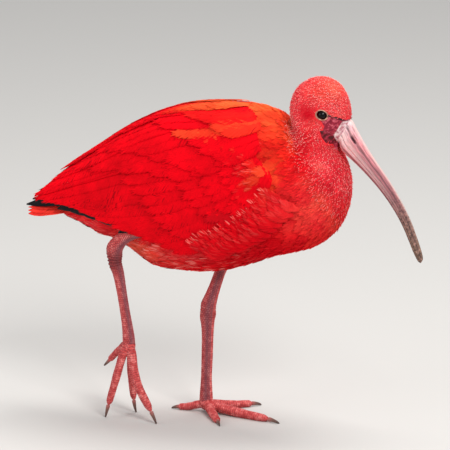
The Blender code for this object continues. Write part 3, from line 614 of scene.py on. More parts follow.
def feather_object(name, verts, faces, share, side, breadth, widths, lengths, patches, rng):
    """One object of many like closed forms, each with its own piece of both UV maps.

    verts is forms x points x 3, and faces are those of the first form. share, side and breadth tell
    each point's place along the form, across it, and across it in half widths.
    """
    count, per = verts.shape[:2]
    faces = (faces[None] + (np.arange(count) * per)[:, None, None]).reshape(-1, faces.shape[1])
    mesh = bpy.data.meshes.new(name)
    mesh.from_pydata(((verts.reshape(-1, 3) + SHIFT) * MM).tolist(), [], faces.tolist())
    obj = bpy.data.objects.new(name, mesh)
    bpy.context.scene.collection.objects.link(obj)
    loops = np.empty(len(mesh.loops), int)
    mesh.loops.foreach_get("vertex_index", loops)
    owner, local = loops // per, loops % per
    offsets = rng.random((count, 2)) * UV_SPREAD
    vane = np.stack([breadth[local] * widths[owner] / 2, share[local] * lengths[owner]], axis=-1)
    root = np.stack([side[local], share[local] * 2 - 1], axis=-1) * PATCH_HALF
    for word, places in (("vane", vane + offsets[owner]), ("OFBake", patches[owner] + root)):
        layer = mesh.uv_layers.new(name=word)
        layer.data.foreach_set("uv", places.astype(np.float32).ravel())
    mesh.shade_smooth()
    return obj


def vane_mesh(name, lines, normals, widths, lengths, rng, style, columns, thickness, arch, sweep, fray,
              patches, values):
    """One mesh of many closed vanes. lines and normals are feathers x stations x 3 along each shaft."""
    lines, normals = np.asarray(lines, float), unit(normals)
    count, stations = lines.shape[:2]
    share, across = np.linspace(0, 1, stations), np.linspace(-1, 1, columns)
    outline = np.interp(share, *np.array(SHAPES[style]).T)
    runs = unit(np.gradient(lines, axis=1))
    sides = unit(np.cross(runs, normals))
    half = (widths[:, None] / 2 * outline)[:, :, None]
    ragged = 1 - np.reshape(fray, (-1, 1, 1)) * rng.random((count, stations, columns)) * np.abs(across) ** 3
    reach = half * across * ragged
    slide = -np.abs(across) ** 1.6 * sweep * half * (0.25 + 0.75 * share[:, None])
    lift = -arch * across**2 * half * 0.5
    run, side, up = (grid[:, :, None, :] for grid in (runs, sides, normals))
    top = lines[:, :, None, :] + side * reach[..., None] + run * slide[..., None] + up * lift[..., None]
    inner = (np.abs(across) < 0.99) & ((share > 0) & (share < 1))[:, None]
    plump = np.where(inner, thickness, thickness * 0.12)[None, :, :, None]
    low, high = top - up * (plump * 0.6), top + up * (plump * 0.4)
    per = stations * columns
    verts = np.concatenate([high.reshape(count, per, 3), low.reshape(count, per, 3)], axis=1)
    cell = np.arange(per).reshape(stations, columns)
    quads = np.stack([cell[:-1, :-1], cell[:-1, 1:], cell[1:, 1:], cell[1:, :-1]], axis=-1).reshape(-1, 4)
    rim = np.concatenate([cell[0, :-1], cell[:-1, -1], cell[-1, :0:-1], cell[:0:-1, 0]])
    walls = np.stack([np.roll(rim, -1), rim, rim + per, np.roll(rim, -1) + per], axis=-1)
    faces = np.concatenate([quads[:, ::-1], quads + per, walls[:, ::-1]])
    if np.cross(sides[0, 1], runs[0, 1]) @ normals[0, 1] < 0:
        faces = faces[:, ::-1]
    steps, places = np.tile(np.repeat(share, columns), 2), np.tile(across, stations * 2)
    breadth = np.tile(np.outer(outline, across).ravel(), 2)
    obj = feather_object(name, verts, faces, steps, places, breadth, widths, lengths, patches, rng)
    store(obj.data, "along", np.tile(steps, count))
    store(obj.data, "across", np.tile(places, count))
    for key, value in values.items():
        store(obj.data, key, np.repeat(value, 2 * per))
    return obj


def sliver_mesh(name, lines, normals, widths, rng, patches, values, ridge):
    """One mesh of many loose barbs or tufts, each a closed three-sided spike along its line."""
    lines, normals = np.asarray(lines, float), unit(normals)
    count, stations = lines.shape[:2]
    share = np.linspace(0, 1, stations)
    sides = unit(np.cross(unit(np.gradient(lines, axis=1)), normals))
    half = (widths[:, None] / 2 * np.interp(share, (0, 0.35, 0.75, 1), (0.6, 1.0, 0.72, 0.08)))[..., None]
    crest = lines + normals * (ridge * np.interp(share, (0, 0.5, 1), (0.6, 1.0, 0.25)))[:, None]
    verts = np.stack([lines - sides * half, crest, lines + sides * half], axis=2)
    verts = verts.reshape(count, stations * 3, 3)
    faces = []
    for here in range(0, (stations - 1) * 3, 3):
        for a, b in ((0, 1), (1, 2), (2, 0)):
            faces.append((here + a, here + b, here + 3 + b))
            faces.append((here + a, here + 3 + b, here + 3 + a))
    last = (stations - 1) * 3
    faces = np.array(faces + [(0, 2, 1), (last, last + 1, last + 2)])
    corners = verts[0][faces[0]]
    outward = corners.mean(axis=0) - lines[0, :2].mean(axis=0)
    if np.cross(corners[1] - corners[0], corners[2] - corners[0]) @ outward < 0:
        faces = faces[:, ::-1]
    steps, edges = np.repeat(share, 3), np.tile((-1.0, 0.0, 1.0), stations)
    obj = feather_object(name, verts, faces, steps, edges, edges, widths, length_of(lines), patches, rng)
    mesh = obj.data
    start, end = values.pop("reach", (np.zeros(count), np.ones(count)))
    store(mesh, "along", start[:, None] + (end - start)[:, None] * steps)
    store(mesh, "across", np.tile(edges * 0.3, count))
    for key, value in values.items():
        store(mesh, key, np.repeat(value, stations * 3))
    # Barbs are too fine to shade one by one, so they take the light as the coat under them does
    soft = normals[:, :, None, :] + sides[:, :, None, :] * np.array((-0.35, 0, 0.35))[:, None]
    mesh.normals_split_custom_set_from_vertices(unit(soft).reshape(-1, 3).tolist())
    return obj


def barbs_of(lines, normals, widths, lengths, rng, pairs=8, lift=0.35, reach_out=0.95):
    """Loose barbs that fan out from the shaft of each feather to its rounded outline."""
    count, stations = lines.shape[:2]
    runs = unit(np.gradient(lines, axis=1))
    sides = unit(np.cross(runs, normals))
    places, breadths = (0, 0.3, 0.55, 0.78, 0.92, 1.0, 1.1), (0.4, 0.8, 1.0, 0.92, 0.66, 0.3, 0.1)
    # On long feathers the barbs stand on the outer part, which shows, and are no longer than 13 mm
    first = 1 - np.minimum(0.78, 65 / lengths)
    last = 1 - np.minimum(0.18, 8 / lengths)
    span = np.minimum(0.36, 13 / lengths)
    jitter = np.minimum(1, 25 / lengths)
    flanks = [(pair / (pairs - 1), flank) for pair in range(pairs) for flank in (-1, 1)] + [(0.9, 0)]
    made, steps = [], 4
    index = np.arange(count)
    for place, flank in flanks:
        start = first + (last - first) * place + rng.uniform(-0.04, 0.04, count) * jitter
        end = start + span + rng.uniform(-0.05, 0.05, count) * jitter
        end = np.minimum(end, 1 + 1.3 / lengths)
        line, normal = np.zeros((count, steps, 3)), np.zeros((count, steps, 3))
        goal = np.interp(end, places, breadths) * reach_out
        turn = rng.uniform(-0.08, 0.08, count)
        up = rng.uniform(0, lift, count)
        for k in range(steps):
            t = k / (steps - 1)
            share = start + (end - start) * t
            held = np.clip(share, 0, 1)
            low = np.minimum((held * (stations - 1)).astype(int), stations - 2)
            part = (held * (stations - 1) - low)[:, None]
            shaft, run, side, n = (grid[index, low] * (1 - part) + grid[index, low + 1] * part
                                   for grid in (lines, runs, sides, normals))
            over = (share - held)[:, None] * lengths[:, None]
            out = (flank * goal * t**0.8 + turn * t) * widths / 2
            droop = 0.10 * (out / (widths / 2)) ** 2 * widths / 2
            line[:, k] = shaft + run * over + side * out[:, None] + n * (0.16 + up * t - droop)[:, None]
            normal[:, k] = n
        outer = smoothstep(0.75, 1.0, end) * 0.85 + 0.15
        made.append((line, normal, index, np.clip(start, 0, 1), np.clip(end, 0, 1), outer))
    lines, normals, owners, starts, ends, outer = (np.concatenate(part) for part in zip(*made))
    return lines, normals, owners, (starts, ends), outer


def laid(roots, lies, tree, lengths, lifts, stations, rng, sunk=0.7, wander=0.12):
    """Shaft lines that follow a surface from each root along its lie, and rise towards their tips."""
    count = len(roots)
    lines, normals = np.zeros((count, stations, 3)), np.zeros((count, stations, 3))
    share = np.linspace(0, 1, stations)
    for i in range(count):
        place, normal, _, _ = tree.find_nearest(Vector(roots[i]))
        run = Vector(lies[i]) + Vector(rng.normal(0, wander, 3))
        run -= normal * run.dot(normal)
        run.normalize()
        step = lengths[i] / (stations - 1)
        for k in range(stations):
            lines[i, k], normals[i, k] = place, normal
            if k == stations - 1:
                break
            found, found_normal, _, _ = tree.find_nearest(place + run * step)
            run = found - place
            run -= found_normal * run.dot(found_normal)
            run.normalize()
            place, normal = found, (normal * 0.4 + found_normal * 0.6).normalized()
    for grid in (lines, normals):
        grid[:, 1:-1] = (grid[:, :-2] + 2 * grid[:, 1:-1] + grid[:, 2:]) / 4
    rise = -sunk + (lifts[:, None] + sunk) * share**0.75
    return lines + unit(normals) * rise[..., None], unit(normals)


def spread(obj, spacing, wanted, rng, density=2.6):
    """Roots spread evenly over an object's faces where wanted, no two nearer than the local spacing."""
    mesh = obj.data
    mesh.calc_loop_triangles()
    places = points_of(obj)
    triangles = np.empty(len(mesh.loop_triangles) * 3, int)
    mesh.loop_triangles.foreach_get("vertices", triangles)
    corners = places[triangles.reshape(-1, 3)]
    centres = corners.mean(axis=1)
    keep = wanted(centres)
    corners, centres = corners[keep], centres[keep]
    areas = np.linalg.norm(np.cross(corners[:, 1] - corners[:, 0], corners[:, 2] - corners[:, 0]), axis=1) / 2
    gaps = spacing(centres)
    weights = areas / gaps**2
    total = int(weights.sum() * density)
    chosen = rng.choice(len(corners), total, p=weights / weights.sum())
    a, b = rng.random((2, total))
    swap = a + b > 1
    a[swap], b[swap] = 1 - a[swap], 1 - b[swap]
    found = corners[chosen]
    dots = found[:, 0] + (found[:, 1] - found[:, 0]) * a[:, None] + (found[:, 2] - found[:, 0]) * b[:, None]
    gaps = gaps[chosen]
    cell = float(gaps.max())
    grid, accepted = {}, []
    for i, (dot, gap) in enumerate(zip(dots, gaps)):
        key = tuple((dot // cell).astype(int))
        near = [j for dx in (-1, 0, 1) for dy in (-1, 0, 1) for dz in (-1, 0, 1)
                for j in grid.get((key[0] + dx, key[1] + dy, key[2] + dz), ())]
        if near and (((dots[near] - dot) ** 2).sum(axis=1) < gap * gap).any():
            continue
        grid.setdefault(key, []).append(i)
        accepted.append(i)
    return dots[accepted]


def inside(points, outline):
    """Which (x, z) points lie inside a closed outline."""
    x, z = points[:, 0], points[:, 1]
    hit = np.zeros(len(points), bool)
    outline = np.asarray(outline, float)
    for (x0, z0), (x1, z1) in zip(outline, np.roll(outline, -1, axis=0)):
        crosses = (z0 > z) != (z1 > z)
        with np.errstate(divide="ignore", invalid="ignore"):
            at = (x1 - x0) * (z - z0) / (z1 - z0) + x0
        hit ^= crosses & (x < at)
    return hit


def line_distance(points, line):
    """Distance from (x, z) points to an open line."""
    line = np.asarray(line, float)
    best = np.full(len(points), 1e9)
    for start, end in zip(line[:-1], line[1:]):
        run = end - start
        t = np.clip(((points - start) @ run) / (run @ run), 0, 1)
        best = np.minimum(best, np.linalg.norm(points - start - t[:, None] * run, axis=1))
    return best


def edge_distance(points, outline):
    """Distance from (x, z) points to a closed outline, negative inside it."""
    best = line_distance(points, (*outline, outline[0]))
    return np.where(inside(points, outline), -best, best)


# Materials


def plumage_colour(tree, settings):
    """Scarlet that turns coral on neck and head, with painted light in orange on the back and other lit
    places, for skin and feathers.
    """
    coords = node(tree, "place")
    # Patches of slightly deeper and lighter red about 25 mm across, as moult and wear leave them
    patches = node(tree, "noise", coords, Scale=40.0, Detail=3.0, Roughness=0.6)
    worn = node(tree, "ramp", patches, ((0.28, 0.8), (0.5, 1.0), (0.74, 1.2)))
    red = node(tree, "mix MULTIPLY", 1.0, tuple(settings.scarlet), worn)
    coral = node(tree, "ramp", patches, ((0.3, "#e62a38"), (0.55, "#f9424a"), (0.75, "#ff6860")))
    body = node(tree, "mix", node(tree, "attribute pale"), red, coral)
    mottled = node(tree, "ramp", patches, ((0.38, 0.62), (0.56, 1.0)))
    # Painted light: orange where light falls on the plumage, mottled by the same patches
    sunny = node(tree, "math MULTIPLY", node(tree, "attribute sunny"), mottled, use_clamp=True)
    return node(tree, "mix", sunny, body, colour("#ff6c34"))


FLIGHT_LOOK = dict(barbs=1.5, streak=0.4, root=0.96, lean=10.0, variety=0.06, parted=0.75)
TUFT_LOOK = dict(barbs=0.8, streak=0.2, root=0.88, lean=3.0, variety=0.26, worn="#ffd8ce", shadow="#d00c20",
                 tip=0.7)


def feather_material(name, settings, barbs=0.9, streak=0.3, root=0.94, lean=8.0, variety=0.12,
                     parted=0.0, worn="#ff958a", shadow="#a80814", tip=0.35):
    """Keratin barbs coloured by carotenoid: soft and matt from barbules, brighter at the worn tips."""
    made, tree, shader = finish_material(name, Roughness=0.8, Specular_IOR_Level=0.06)
    body = plumage_colour(tree, settings)
    lengthwise, side = node(tree, "attribute along"), node(tree, "attribute across")
    # Painted shade: each feather darker towards its root, where the feathers over it shade it, and a little
    # lighter at its tip
    shaded = node(tree, "ramp", lengthwise, ((0.0, root), (0.4, (1 + root) / 2), (0.8, 1.0), (1.0, 1.06)))
    tone = node(tree, "mix MULTIPLY", 1.0, body, shaded)
    each = node(tree, "ramp", node(tree, "attribute tint"), ((0.0, 0.45), (0.5, 1.0), (1.0, 1.5)))
    tone = node(tree, "mix", variety * 2, tone, node(tree, "mix MULTIPLY", 1.0, tone, each))
    # Barbs run outwards and forwards from the shaft, drawn about 1 mm apart so that they show
    split = node(tree, "split", node(tree, "uv vane")).node
    slope = node(tree, "math MULTIPLY", node(tree, "math ABSOLUTE", side), lean)
    count = node(tree, "math SUBTRACT", split.outputs["Y"], slope)
    weak = node(tree, "math MULTIPLY", split.outputs["X"], 0.10)
    barb = node(tree, "join", count, 0.0, weak)
    lines = node(tree, "noise", barb, Scale=1.0 / barbs, Detail=2.0, Roughness=0.7)
    streaks = node(tree, "ramp", lines, ((0.3, 0.55), (0.5, 1.0), (0.72, 1.12)))
    tone = node(tree, "mix", streak, tone, node(tree, "mix MULTIPLY", 1.0, tone, streaks))
    if parted:
        # A few barbs stand apart, and the partings between them get painted shadow across the vane
        apart = node(tree, "noise", barb, Scale=0.62, Detail=0.0)
        gaps = node(tree, "ramp", apart, ((0.58, 0.0), (0.66, 1.0)))
        coords = node(tree, "place")
        areas = node(tree, "noise", coords, Scale=38.0, Detail=1.0)
        off_shaft = node(tree, "ramp", node(tree, "math ABSOLUTE", side), ((0.06, 0.0), (0.3, parted)))
        gaps = node(tree, "math MULTIPLY", gaps, node(tree, "ramp", areas, ((0.44, 0.0), (0.56, 1.0))))
        gaps = node(tree, "math MULTIPLY", gaps, off_shaft)
        tone = node(tree, "mix", gaps, tone, colour("#8c000a"))
    # Worn tips of some feathers are pale; on the nape and the rear belly part of this paleness is painted
    # light
    tips = node(tree, "ramp", lengthwise, ((tip, 0.0), ((1 + tip) / 2, 1.0)))
    tips = node(tree, "math MULTIPLY", node(tree, "attribute fleck"), tips, use_clamp=True)
    tone = node(tree, "mix", tips, tone, colour(worn))
    tone = node(tree, "mix", node(tree, "attribute shade"), tone, colour(shadow))
    surfaced(tree, shader, tone, lines, 0.3, 0.0003)
    return made


def black_feather_material():
    """Melanin black primary: close barbs with a faint blue gloss."""
    made, tree, shader = finish_material("black_primary_keratin", Roughness=0.42, Specular_IOR_Level=0.14)
    side = node(tree, "math ABSOLUTE", node(tree, "attribute across"))
    shade = node(tree, "ramp", side, ((0.0, "#0c0e14"), (0.08, "#020306"), (1.0, "#05070d")))
    # Barbs about 0.9 mm apart along the vane, drawn wider than in life so that they show
    lines = node(tree, "wave", node(tree, "uv vane"), Scale=0.35, Distortion=1.5, bands_direction="Y")
    surfaced(tree, shader, shade, lines, 0.25, 0.0002)
    return made


def skin_material(settings):
    """Skin under the coat, stained the colour of the feathers over it, their painted light included."""
    made, tree, shader = finish_material("skin_under_plumage", Roughness=0.8, Specular_IOR_Level=0.1)
    tone = node(tree, "mix MULTIPLY", 1.0, plumage_colour(tree, settings), colour("#f0d4d4"))
    tree.links.new(tone, shader.inputs["Base Color"])
    return made


def face_material():
    """Bare facial skin: thin, finely wrinkled and raspberry red, and the pale horn where the bill begins."""
    made, tree, shader = finish_material(
        "bare_facial_skin", Roughness=0.5, Specular_IOR_Level=0.25,
        Subsurface_Weight=0.08, Subsurface_Scale=0.001)
    coords = node(tree, "place")
    grain = node(tree, "voronoi", coords, Scale=1100.0, feature="DISTANCE_TO_EDGE")
    cloud = node(tree, "noise", coords, Scale=320.0, Detail=4.0, Roughness=0.6)
    skin = node(tree, "ramp", cloud, ((0.38, "#7a0e28"), (0.5, "#a01e38"), (0.62, "#cc5a68")))
    gape = node(tree, "ramp", cloud, ((0.4, "#480410"), (0.5, "#74061a"), (0.62, "#a82a40")))
    horn = node(tree, "ramp", cloud, ((0.36, "#b06470"), (0.5, "#d89ca2"), (0.64, "#f4dada")))
    rim = node(tree, "ramp", cloud, ((0.36, "#c48f92"), (0.5, "#e2c0c2"), (0.64, "#f8e8e6")))
    fold = node(tree, "mix", node(tree, "attribute gape"), skin, gape)
    fold = node(tree, "mix", node(tree, "attribute horn"), fold, horn)
    fold = node(tree, "mix", node(tree, "attribute rim"), fold, rim)
    # Painted shade in the lines of the fine wrinkles
    crease_shade = node(tree, "ramp", grain, ((0.0, 0.7), (0.12, 1.0)))
    fold = node(tree, "mix MULTIPLY", 1.0, fold, crease_shade)
    # Painted shade: near black in the groove round the gape and along the lore's upper edge, where the
    # feathers meet the skin
    fold = node(tree, "mix", node(tree, "attribute dark"), fold, colour("#2a0612"))
    surfaced(tree, shader, fold, cloud, 0.6, 0.0004)
    return made


def lid_material():
    """Rim of the lids: pale peach skin with fine radial creases."""
    made, tree, shader = finish_material("eyelid_skin", Roughness=0.5)
    coords = node(tree, "place")
    cloud = node(tree, "noise", coords, Scale=500.0, Detail=3.0)
    tone = node(tree, "ramp", cloud, ((0.3, "#6e3e34"), (0.5, "#a8705c"), (0.7, "#d8a68a")))
    surfaced(tree, shader, tone, cloud, 0.4, 0.0002)
    return made


def eye_material():
    """Wet cornea over a dark brown iris that reads as black."""
    made, tree, shader = finish_material(
        "dark_iris_under_cornea", Roughness=0.06, IOR=1.336, Specular_IOR_Level=0.35)
    tone = node(tree, "ramp", node(tree, "attribute iris"),
                ((0.0, "#010101"), (0.55, "#020203"), (0.62, "#0c0707"), (1.0, "#080505")))
    tree.links.new(tone, shader.inputs["Base Color"])
    return made


def bill_material():
    """Keratin sheath of the bill: satin, pink from the blood under it, horn brown and flecked to the tip."""
    made, tree, shader = finish_material(
        "bill_keratin", Roughness=0.38, Subsurface_Weight=0.08, Subsurface_Scale=0.002)
    share, around = node(tree, "attribute share"), node(tree, "attribute around")
    base = node(tree, "ramp", share, (
        (0.0, "#fbd6d6"), (0.1, "#f6c0c2"), (0.2, "#ea959a"), (0.34, "#ba7076"),
        (0.5, "#9e5e62"), (0.66, "#8a6458"), (0.85, "#80604e"), (1.0, "#5a4034")))
    # Fibres of keratin run along the bill, about 10 mm long and half a millimetre wide
    lengthwise, crosswise = node(tree, "math MULTIPLY", share, 17.0), node(tree, "math MULTIPLY", around, 8.0)
    fibre = node(tree, "join", lengthwise, crosswise)
    cloud = node(tree, "noise", fibre, Scale=1.0, Detail=4.0, Roughness=0.6)
    fibres = node(tree, "ramp", cloud, ((0.38, 0.4), (0.5, 0.95), (0.62, 1.5)))
    tone = node(tree, "mix", 0.7, base, node(tree, "mix MULTIPLY", 1.0, base, fibres))
    # Painted shade: each half of the bill darker down its sides than along its ridge
    under = node(tree, "ramp", around, ((0.25, 1.0), (0.75, 0.86)))
    tone = node(tree, "mix MULTIPLY", 1.0, tone, under)
    # The edges of the mouth are paler, most near the face, and a painted highlight runs along the culmen
    edges = node(tree, "ramp", node(tree, "math MULTIPLY", around, 1 / math.pi),
                 ((0.38, 0.0), (0.44, 0.6), (0.5, 0.6)))
    fading = node(tree, "ramp", share, ((0.0, 0.9), (0.25, 0.6), (0.5, 0.2), (0.65, 0.0)))
    tone = node(tree, "mix", node(tree, "math MULTIPLY", edges, fading), tone, colour("#f4d4ce"))
    tone = node(tree, "mix", node(tree, "attribute culmen"), tone, colour("#f2d2c8"))
    # Painted shade in the grooves and in the nostril
    tone = node(tree, "mix", node(tree, "attribute groove"), tone, colour("#481a26"))
    # Worn, dirty flecks 1 to 2 mm across over the front half
    flecks = node(tree, "noise", node(tree, "place"), Scale=340.0, Detail=3.0, Roughness=0.8)
    amount = node(tree, "ramp", share, ((0.44, 0.0), (0.58, 0.7), (0.9, 0.8)))
    for stops, shade in ((((0.38, 0.6), (0.43, 0.0)), "#c8988a"), (((0.55, 0.0), (0.59, 1.0)), "#2c1a18")):
        spots = node(tree, "math MULTIPLY", amount, node(tree, "ramp", flecks, stops))
        tone = node(tree, "mix", spots, tone, colour(shade))
    gloss = node(tree, "ramp", share, ((0.0, 0.34), (0.6, 0.42), (1.0, 0.62)))
    tree.links.new(gloss, shader.inputs["Roughness"])
    surfaced(tree, shader, tone, cloud, 0.3, 0.0004)
    return made


def leg_material():
    """Scaled leg skin: coral plates with darker, dusty seams between them, and painted shade in the folds
    round the hock.
    """
    made, tree, shader = finish_material(
        "scaled_leg_skin", Roughness=0.58, Specular_IOR_Level=0.22,
        Subsurface_Weight=0.05, Subsurface_Scale=0.0015)
    coords = node(tree, "place")
    cloud = node(tree, "noise", coords, Scale=260.0, Detail=5.0, Roughness=0.65)
    plate = node(tree, "ramp", cloud, ((0.34, "#ac3434"), (0.5, "#ca504e"), (0.66, "#ea8680")))
    dusk = node(tree, "mix", node(tree, "attribute front"), plate, colour("#684650"))
    knee = node(tree, "mix", node(tree, "attribute hock"), dusk, colour("#6c241e"))
    seam = node(tree, "mix", node(tree, "attribute seam"), knee, colour("#5e1c26"))
    surfaced(tree, shader, seam, cloud, 0.3, 0.0003)
    return made


def claw_material():
    """Claw horn: dark grey brown, polished by use, paler at the root."""
    made, tree, shader = finish_material("claw_keratin", Roughness=0.4)
    tone = node(tree, "ramp", node(tree, "attribute share"),
                ((0.0, "#a85a54"), (0.35, "#6e4a40"), (1.0, "#3e2e28")))
    tree.links.new(tone, shader.inputs["Base Color"])
    return made


def material(name, maker, *args, **kwargs):
    """A material that is made once."""
    if ("look", name) not in SHARED:
        SHARED["look", name] = maker(*args, **kwargs)
    return SHARED["look", name]


# Pieces


class IBIS_OT_skin(bpy.types.Operator):
    """Joins the flesh solids into one skin, smooths it and sinks it under the coat"""

    bl_idname = "ibis.skin"
    bl_label = "Skin"

    def execute(self, context):
        settings = context.scene.ibis_plumage
        SHARED["map"] = BodyMap()
        copies = []
        for name in FLESH:
            copy = NODES[name].copy()
            copy.data = NODES[name].data.copy()
            for key in list(copy.keys()):
                del copy[key]
            copy.parent = None
            context.scene.collection.objects.link(copy)
            copies.append(copy)
        rows = spline([(x, top, x, bottom, half, 0.1) for x, top, bottom, half in TAIL_CORE], 4)

        def core(turn, share):
            row = rows_at(rows, share)
            middle = np.stack([row[:, 0], np.zeros(len(row)), (row[:, 1] + row[:, 3]) / 2], axis=-1)
            closed = np.minimum(1, np.minimum(share, 1 - share) * 40)[:, None]
            return middle + (body_ring(row, turn) - middle) * closed

        def back(turn, share):
            x = 60 - 185 * share
            closed = closed_ends(share, 14, 14)
            reach = 0.8 - 0.35 * smoothstep(0.55, 1.0, share)
            angle = reach * np.cos(turn) * closed
            depth = 9.2 - 5.6 * np.sin(turn) * closed
            made = on_envelope(x, np.abs(angle), depth)
            made[:, 1] *= np.sign(angle)
            return made

        copies.append(rolled("tail_core", 32, 41, core))
        copies.append(rolled("back_between_wings", 40, 90, back))
        skin = one_surface(copies, "skin", SKIN_VOXEL, 12, merge=True)
        places = points_of(skin)
        sections, turns, _ = SHARED["map"].at(places)
        normals = np.array([v.normal for v in skin.data.vertices])
        depth = settings.coat_depth / MM * (1 - 0.45 * smoothstep(9, 13, sections))
        place_points(skin, places - normals * depth[:, None])
        pale, sunny, _ = markings(places, sections, turns, normals[:, 2])
        store(skin.data, "pale", pale.clip(0, 1))
        store(skin.data, "sunny", sunny.clip(0, 1))
        bpy.ops.object.shade_smooth()
        keep_piece(skin, material("skin", skin_material, settings), "scarlet_plumage", *FLESH)
        SHARED["skin"] = skin
        return {"FINISHED"}


def envelope_at(x):
    rows = SHARED.setdefault("envelope", spline(ENVELOPE, 8))
    return [np.interp(x, rows[:, 0], rows[:, k]) for k in (1, 2, 3)]


def envelope_angle(x, z):
    top, bottom, _ = envelope_at(x)
    return np.arccos(np.clip((z - (top + bottom) / 2) / ((top - bottom) / 2), -0.999, 0.999))


def on_envelope(x, angle, depth):
    """Points of the right side at depths under the envelope."""
    top, bottom, half_width = envelope_at(x)
    middle, half = (top + bottom) / 2, (top - bottom) / 2
    y = -np.maximum(half_width - depth, 0) * np.sin(angle) ** 0.9
    return np.stack([x, y, middle + np.maximum(half - depth, 0) * np.cos(angle)], axis=-1)


def envelope_normal(x, angle, depth):
    run = on_envelope(x + 2, angle, depth) - on_envelope(x - 2, angle, depth)
    turn = on_envelope(x, angle + 0.05, depth) - on_envelope(x, angle - 0.05, depth)
    normal = unit(np.cross(run, turn))
    outward = on_envelope(x, angle, depth) - on_envelope(x, angle, depth + 1)
    return normal * np.sign((normal * outward).sum(axis=-1, keepdims=True))


def wing_patch(x, angle):
    """Where a root lies on the unwrap of a wing: tail to shoulder across, top to bottom up."""
    return np.stack([0.03 + 0.94 * (x + 200) / 290, 0.03 + 0.94 * angle / math.pi], axis=-1)


def tier_lines(tier, stations, rng):
    """Shaft lines, normals, widths, lengths and patches of one tier of the right wing."""
    share, made = np.linspace(0, 1, stations), []
    for i in range(tier["count"]):
        place = i / (tier["count"] - 1)
        root, tip = rows_at(tier["roots"], place), rows_at(tier["tips"], place)
        tip = tip + rng.uniform(-1, 1, 2) * (2.2, 0.8)
        start, end = envelope_angle(*root), envelope_angle(*tip)
        bow = rng.uniform(0.01, 0.05)
        x = root[0] + (tip[0] - root[0]) * share
        angle = start + (end - start) * share ** tier.get("late", 1) + bow * np.sin(math.pi * share)
        deep, shallow = tier["depths"]
        depth = deep + (shallow - deep) * share**0.8 + rng.uniform(-0.12, 0.12)
        depth -= tier.get("rise", 0) * place**2 * share**4
        line = on_envelope(x, angle, depth)
        normal = envelope_normal(x, angle, depth)
        # Each feather leans on the one below it, so its lower edge stands a little prouder
        run = unit(np.gradient(line, axis=0))
        side = unit(np.cross(run, normal))
        side *= np.sign(side[:, 2:3])
        normal = unit(normal + side * 0.06)
        width = tier["width"] * rng.uniform(0.92, 1.08)
        made.append((line, normal, width, length_of(line), wing_patch(x[0], angle[0])))
    return [np.array(part) for part in zip(*made)]


def tiers_of(tiers, stations, rng):
    """The lines, normals, widths, lengths and patches of several tiers, one after the other."""
    gathered = [tier_lines(tier, stations, rng) for tier in tiers]
    return [np.concatenate(part) for part in zip(*gathered)]


def mirror_piece(obj, name):
    """The same piece on the bird's left side, with its own mesh."""
    activate(obj)
    bpy.ops.object.duplicate()
    twin = bpy.context.object
    twin.name = twin.data.name = name
    places = points_of(obj)
    places[:, 1] *= -1
    place_points(twin, places)
    edited(flip_normals={})
    return twin


def both_sides(right, look, slot, *replaced):
    """Keeps the right wing's piece clear of the midline, and adds its mirror image on the left."""
    places = points_of(right)
    places[:, 1] = np.minimum(places[:, 1], -VANE_CLEARANCE)
    place_points(right, places)
    left = mirror_piece(right, right.name.replace("right", "left"))
    for obj, side in ((right, "right"), (left, "left")):
        keep_piece(obj, look, slot, *(f"{name}_{side}" for name in replaced))
    return left


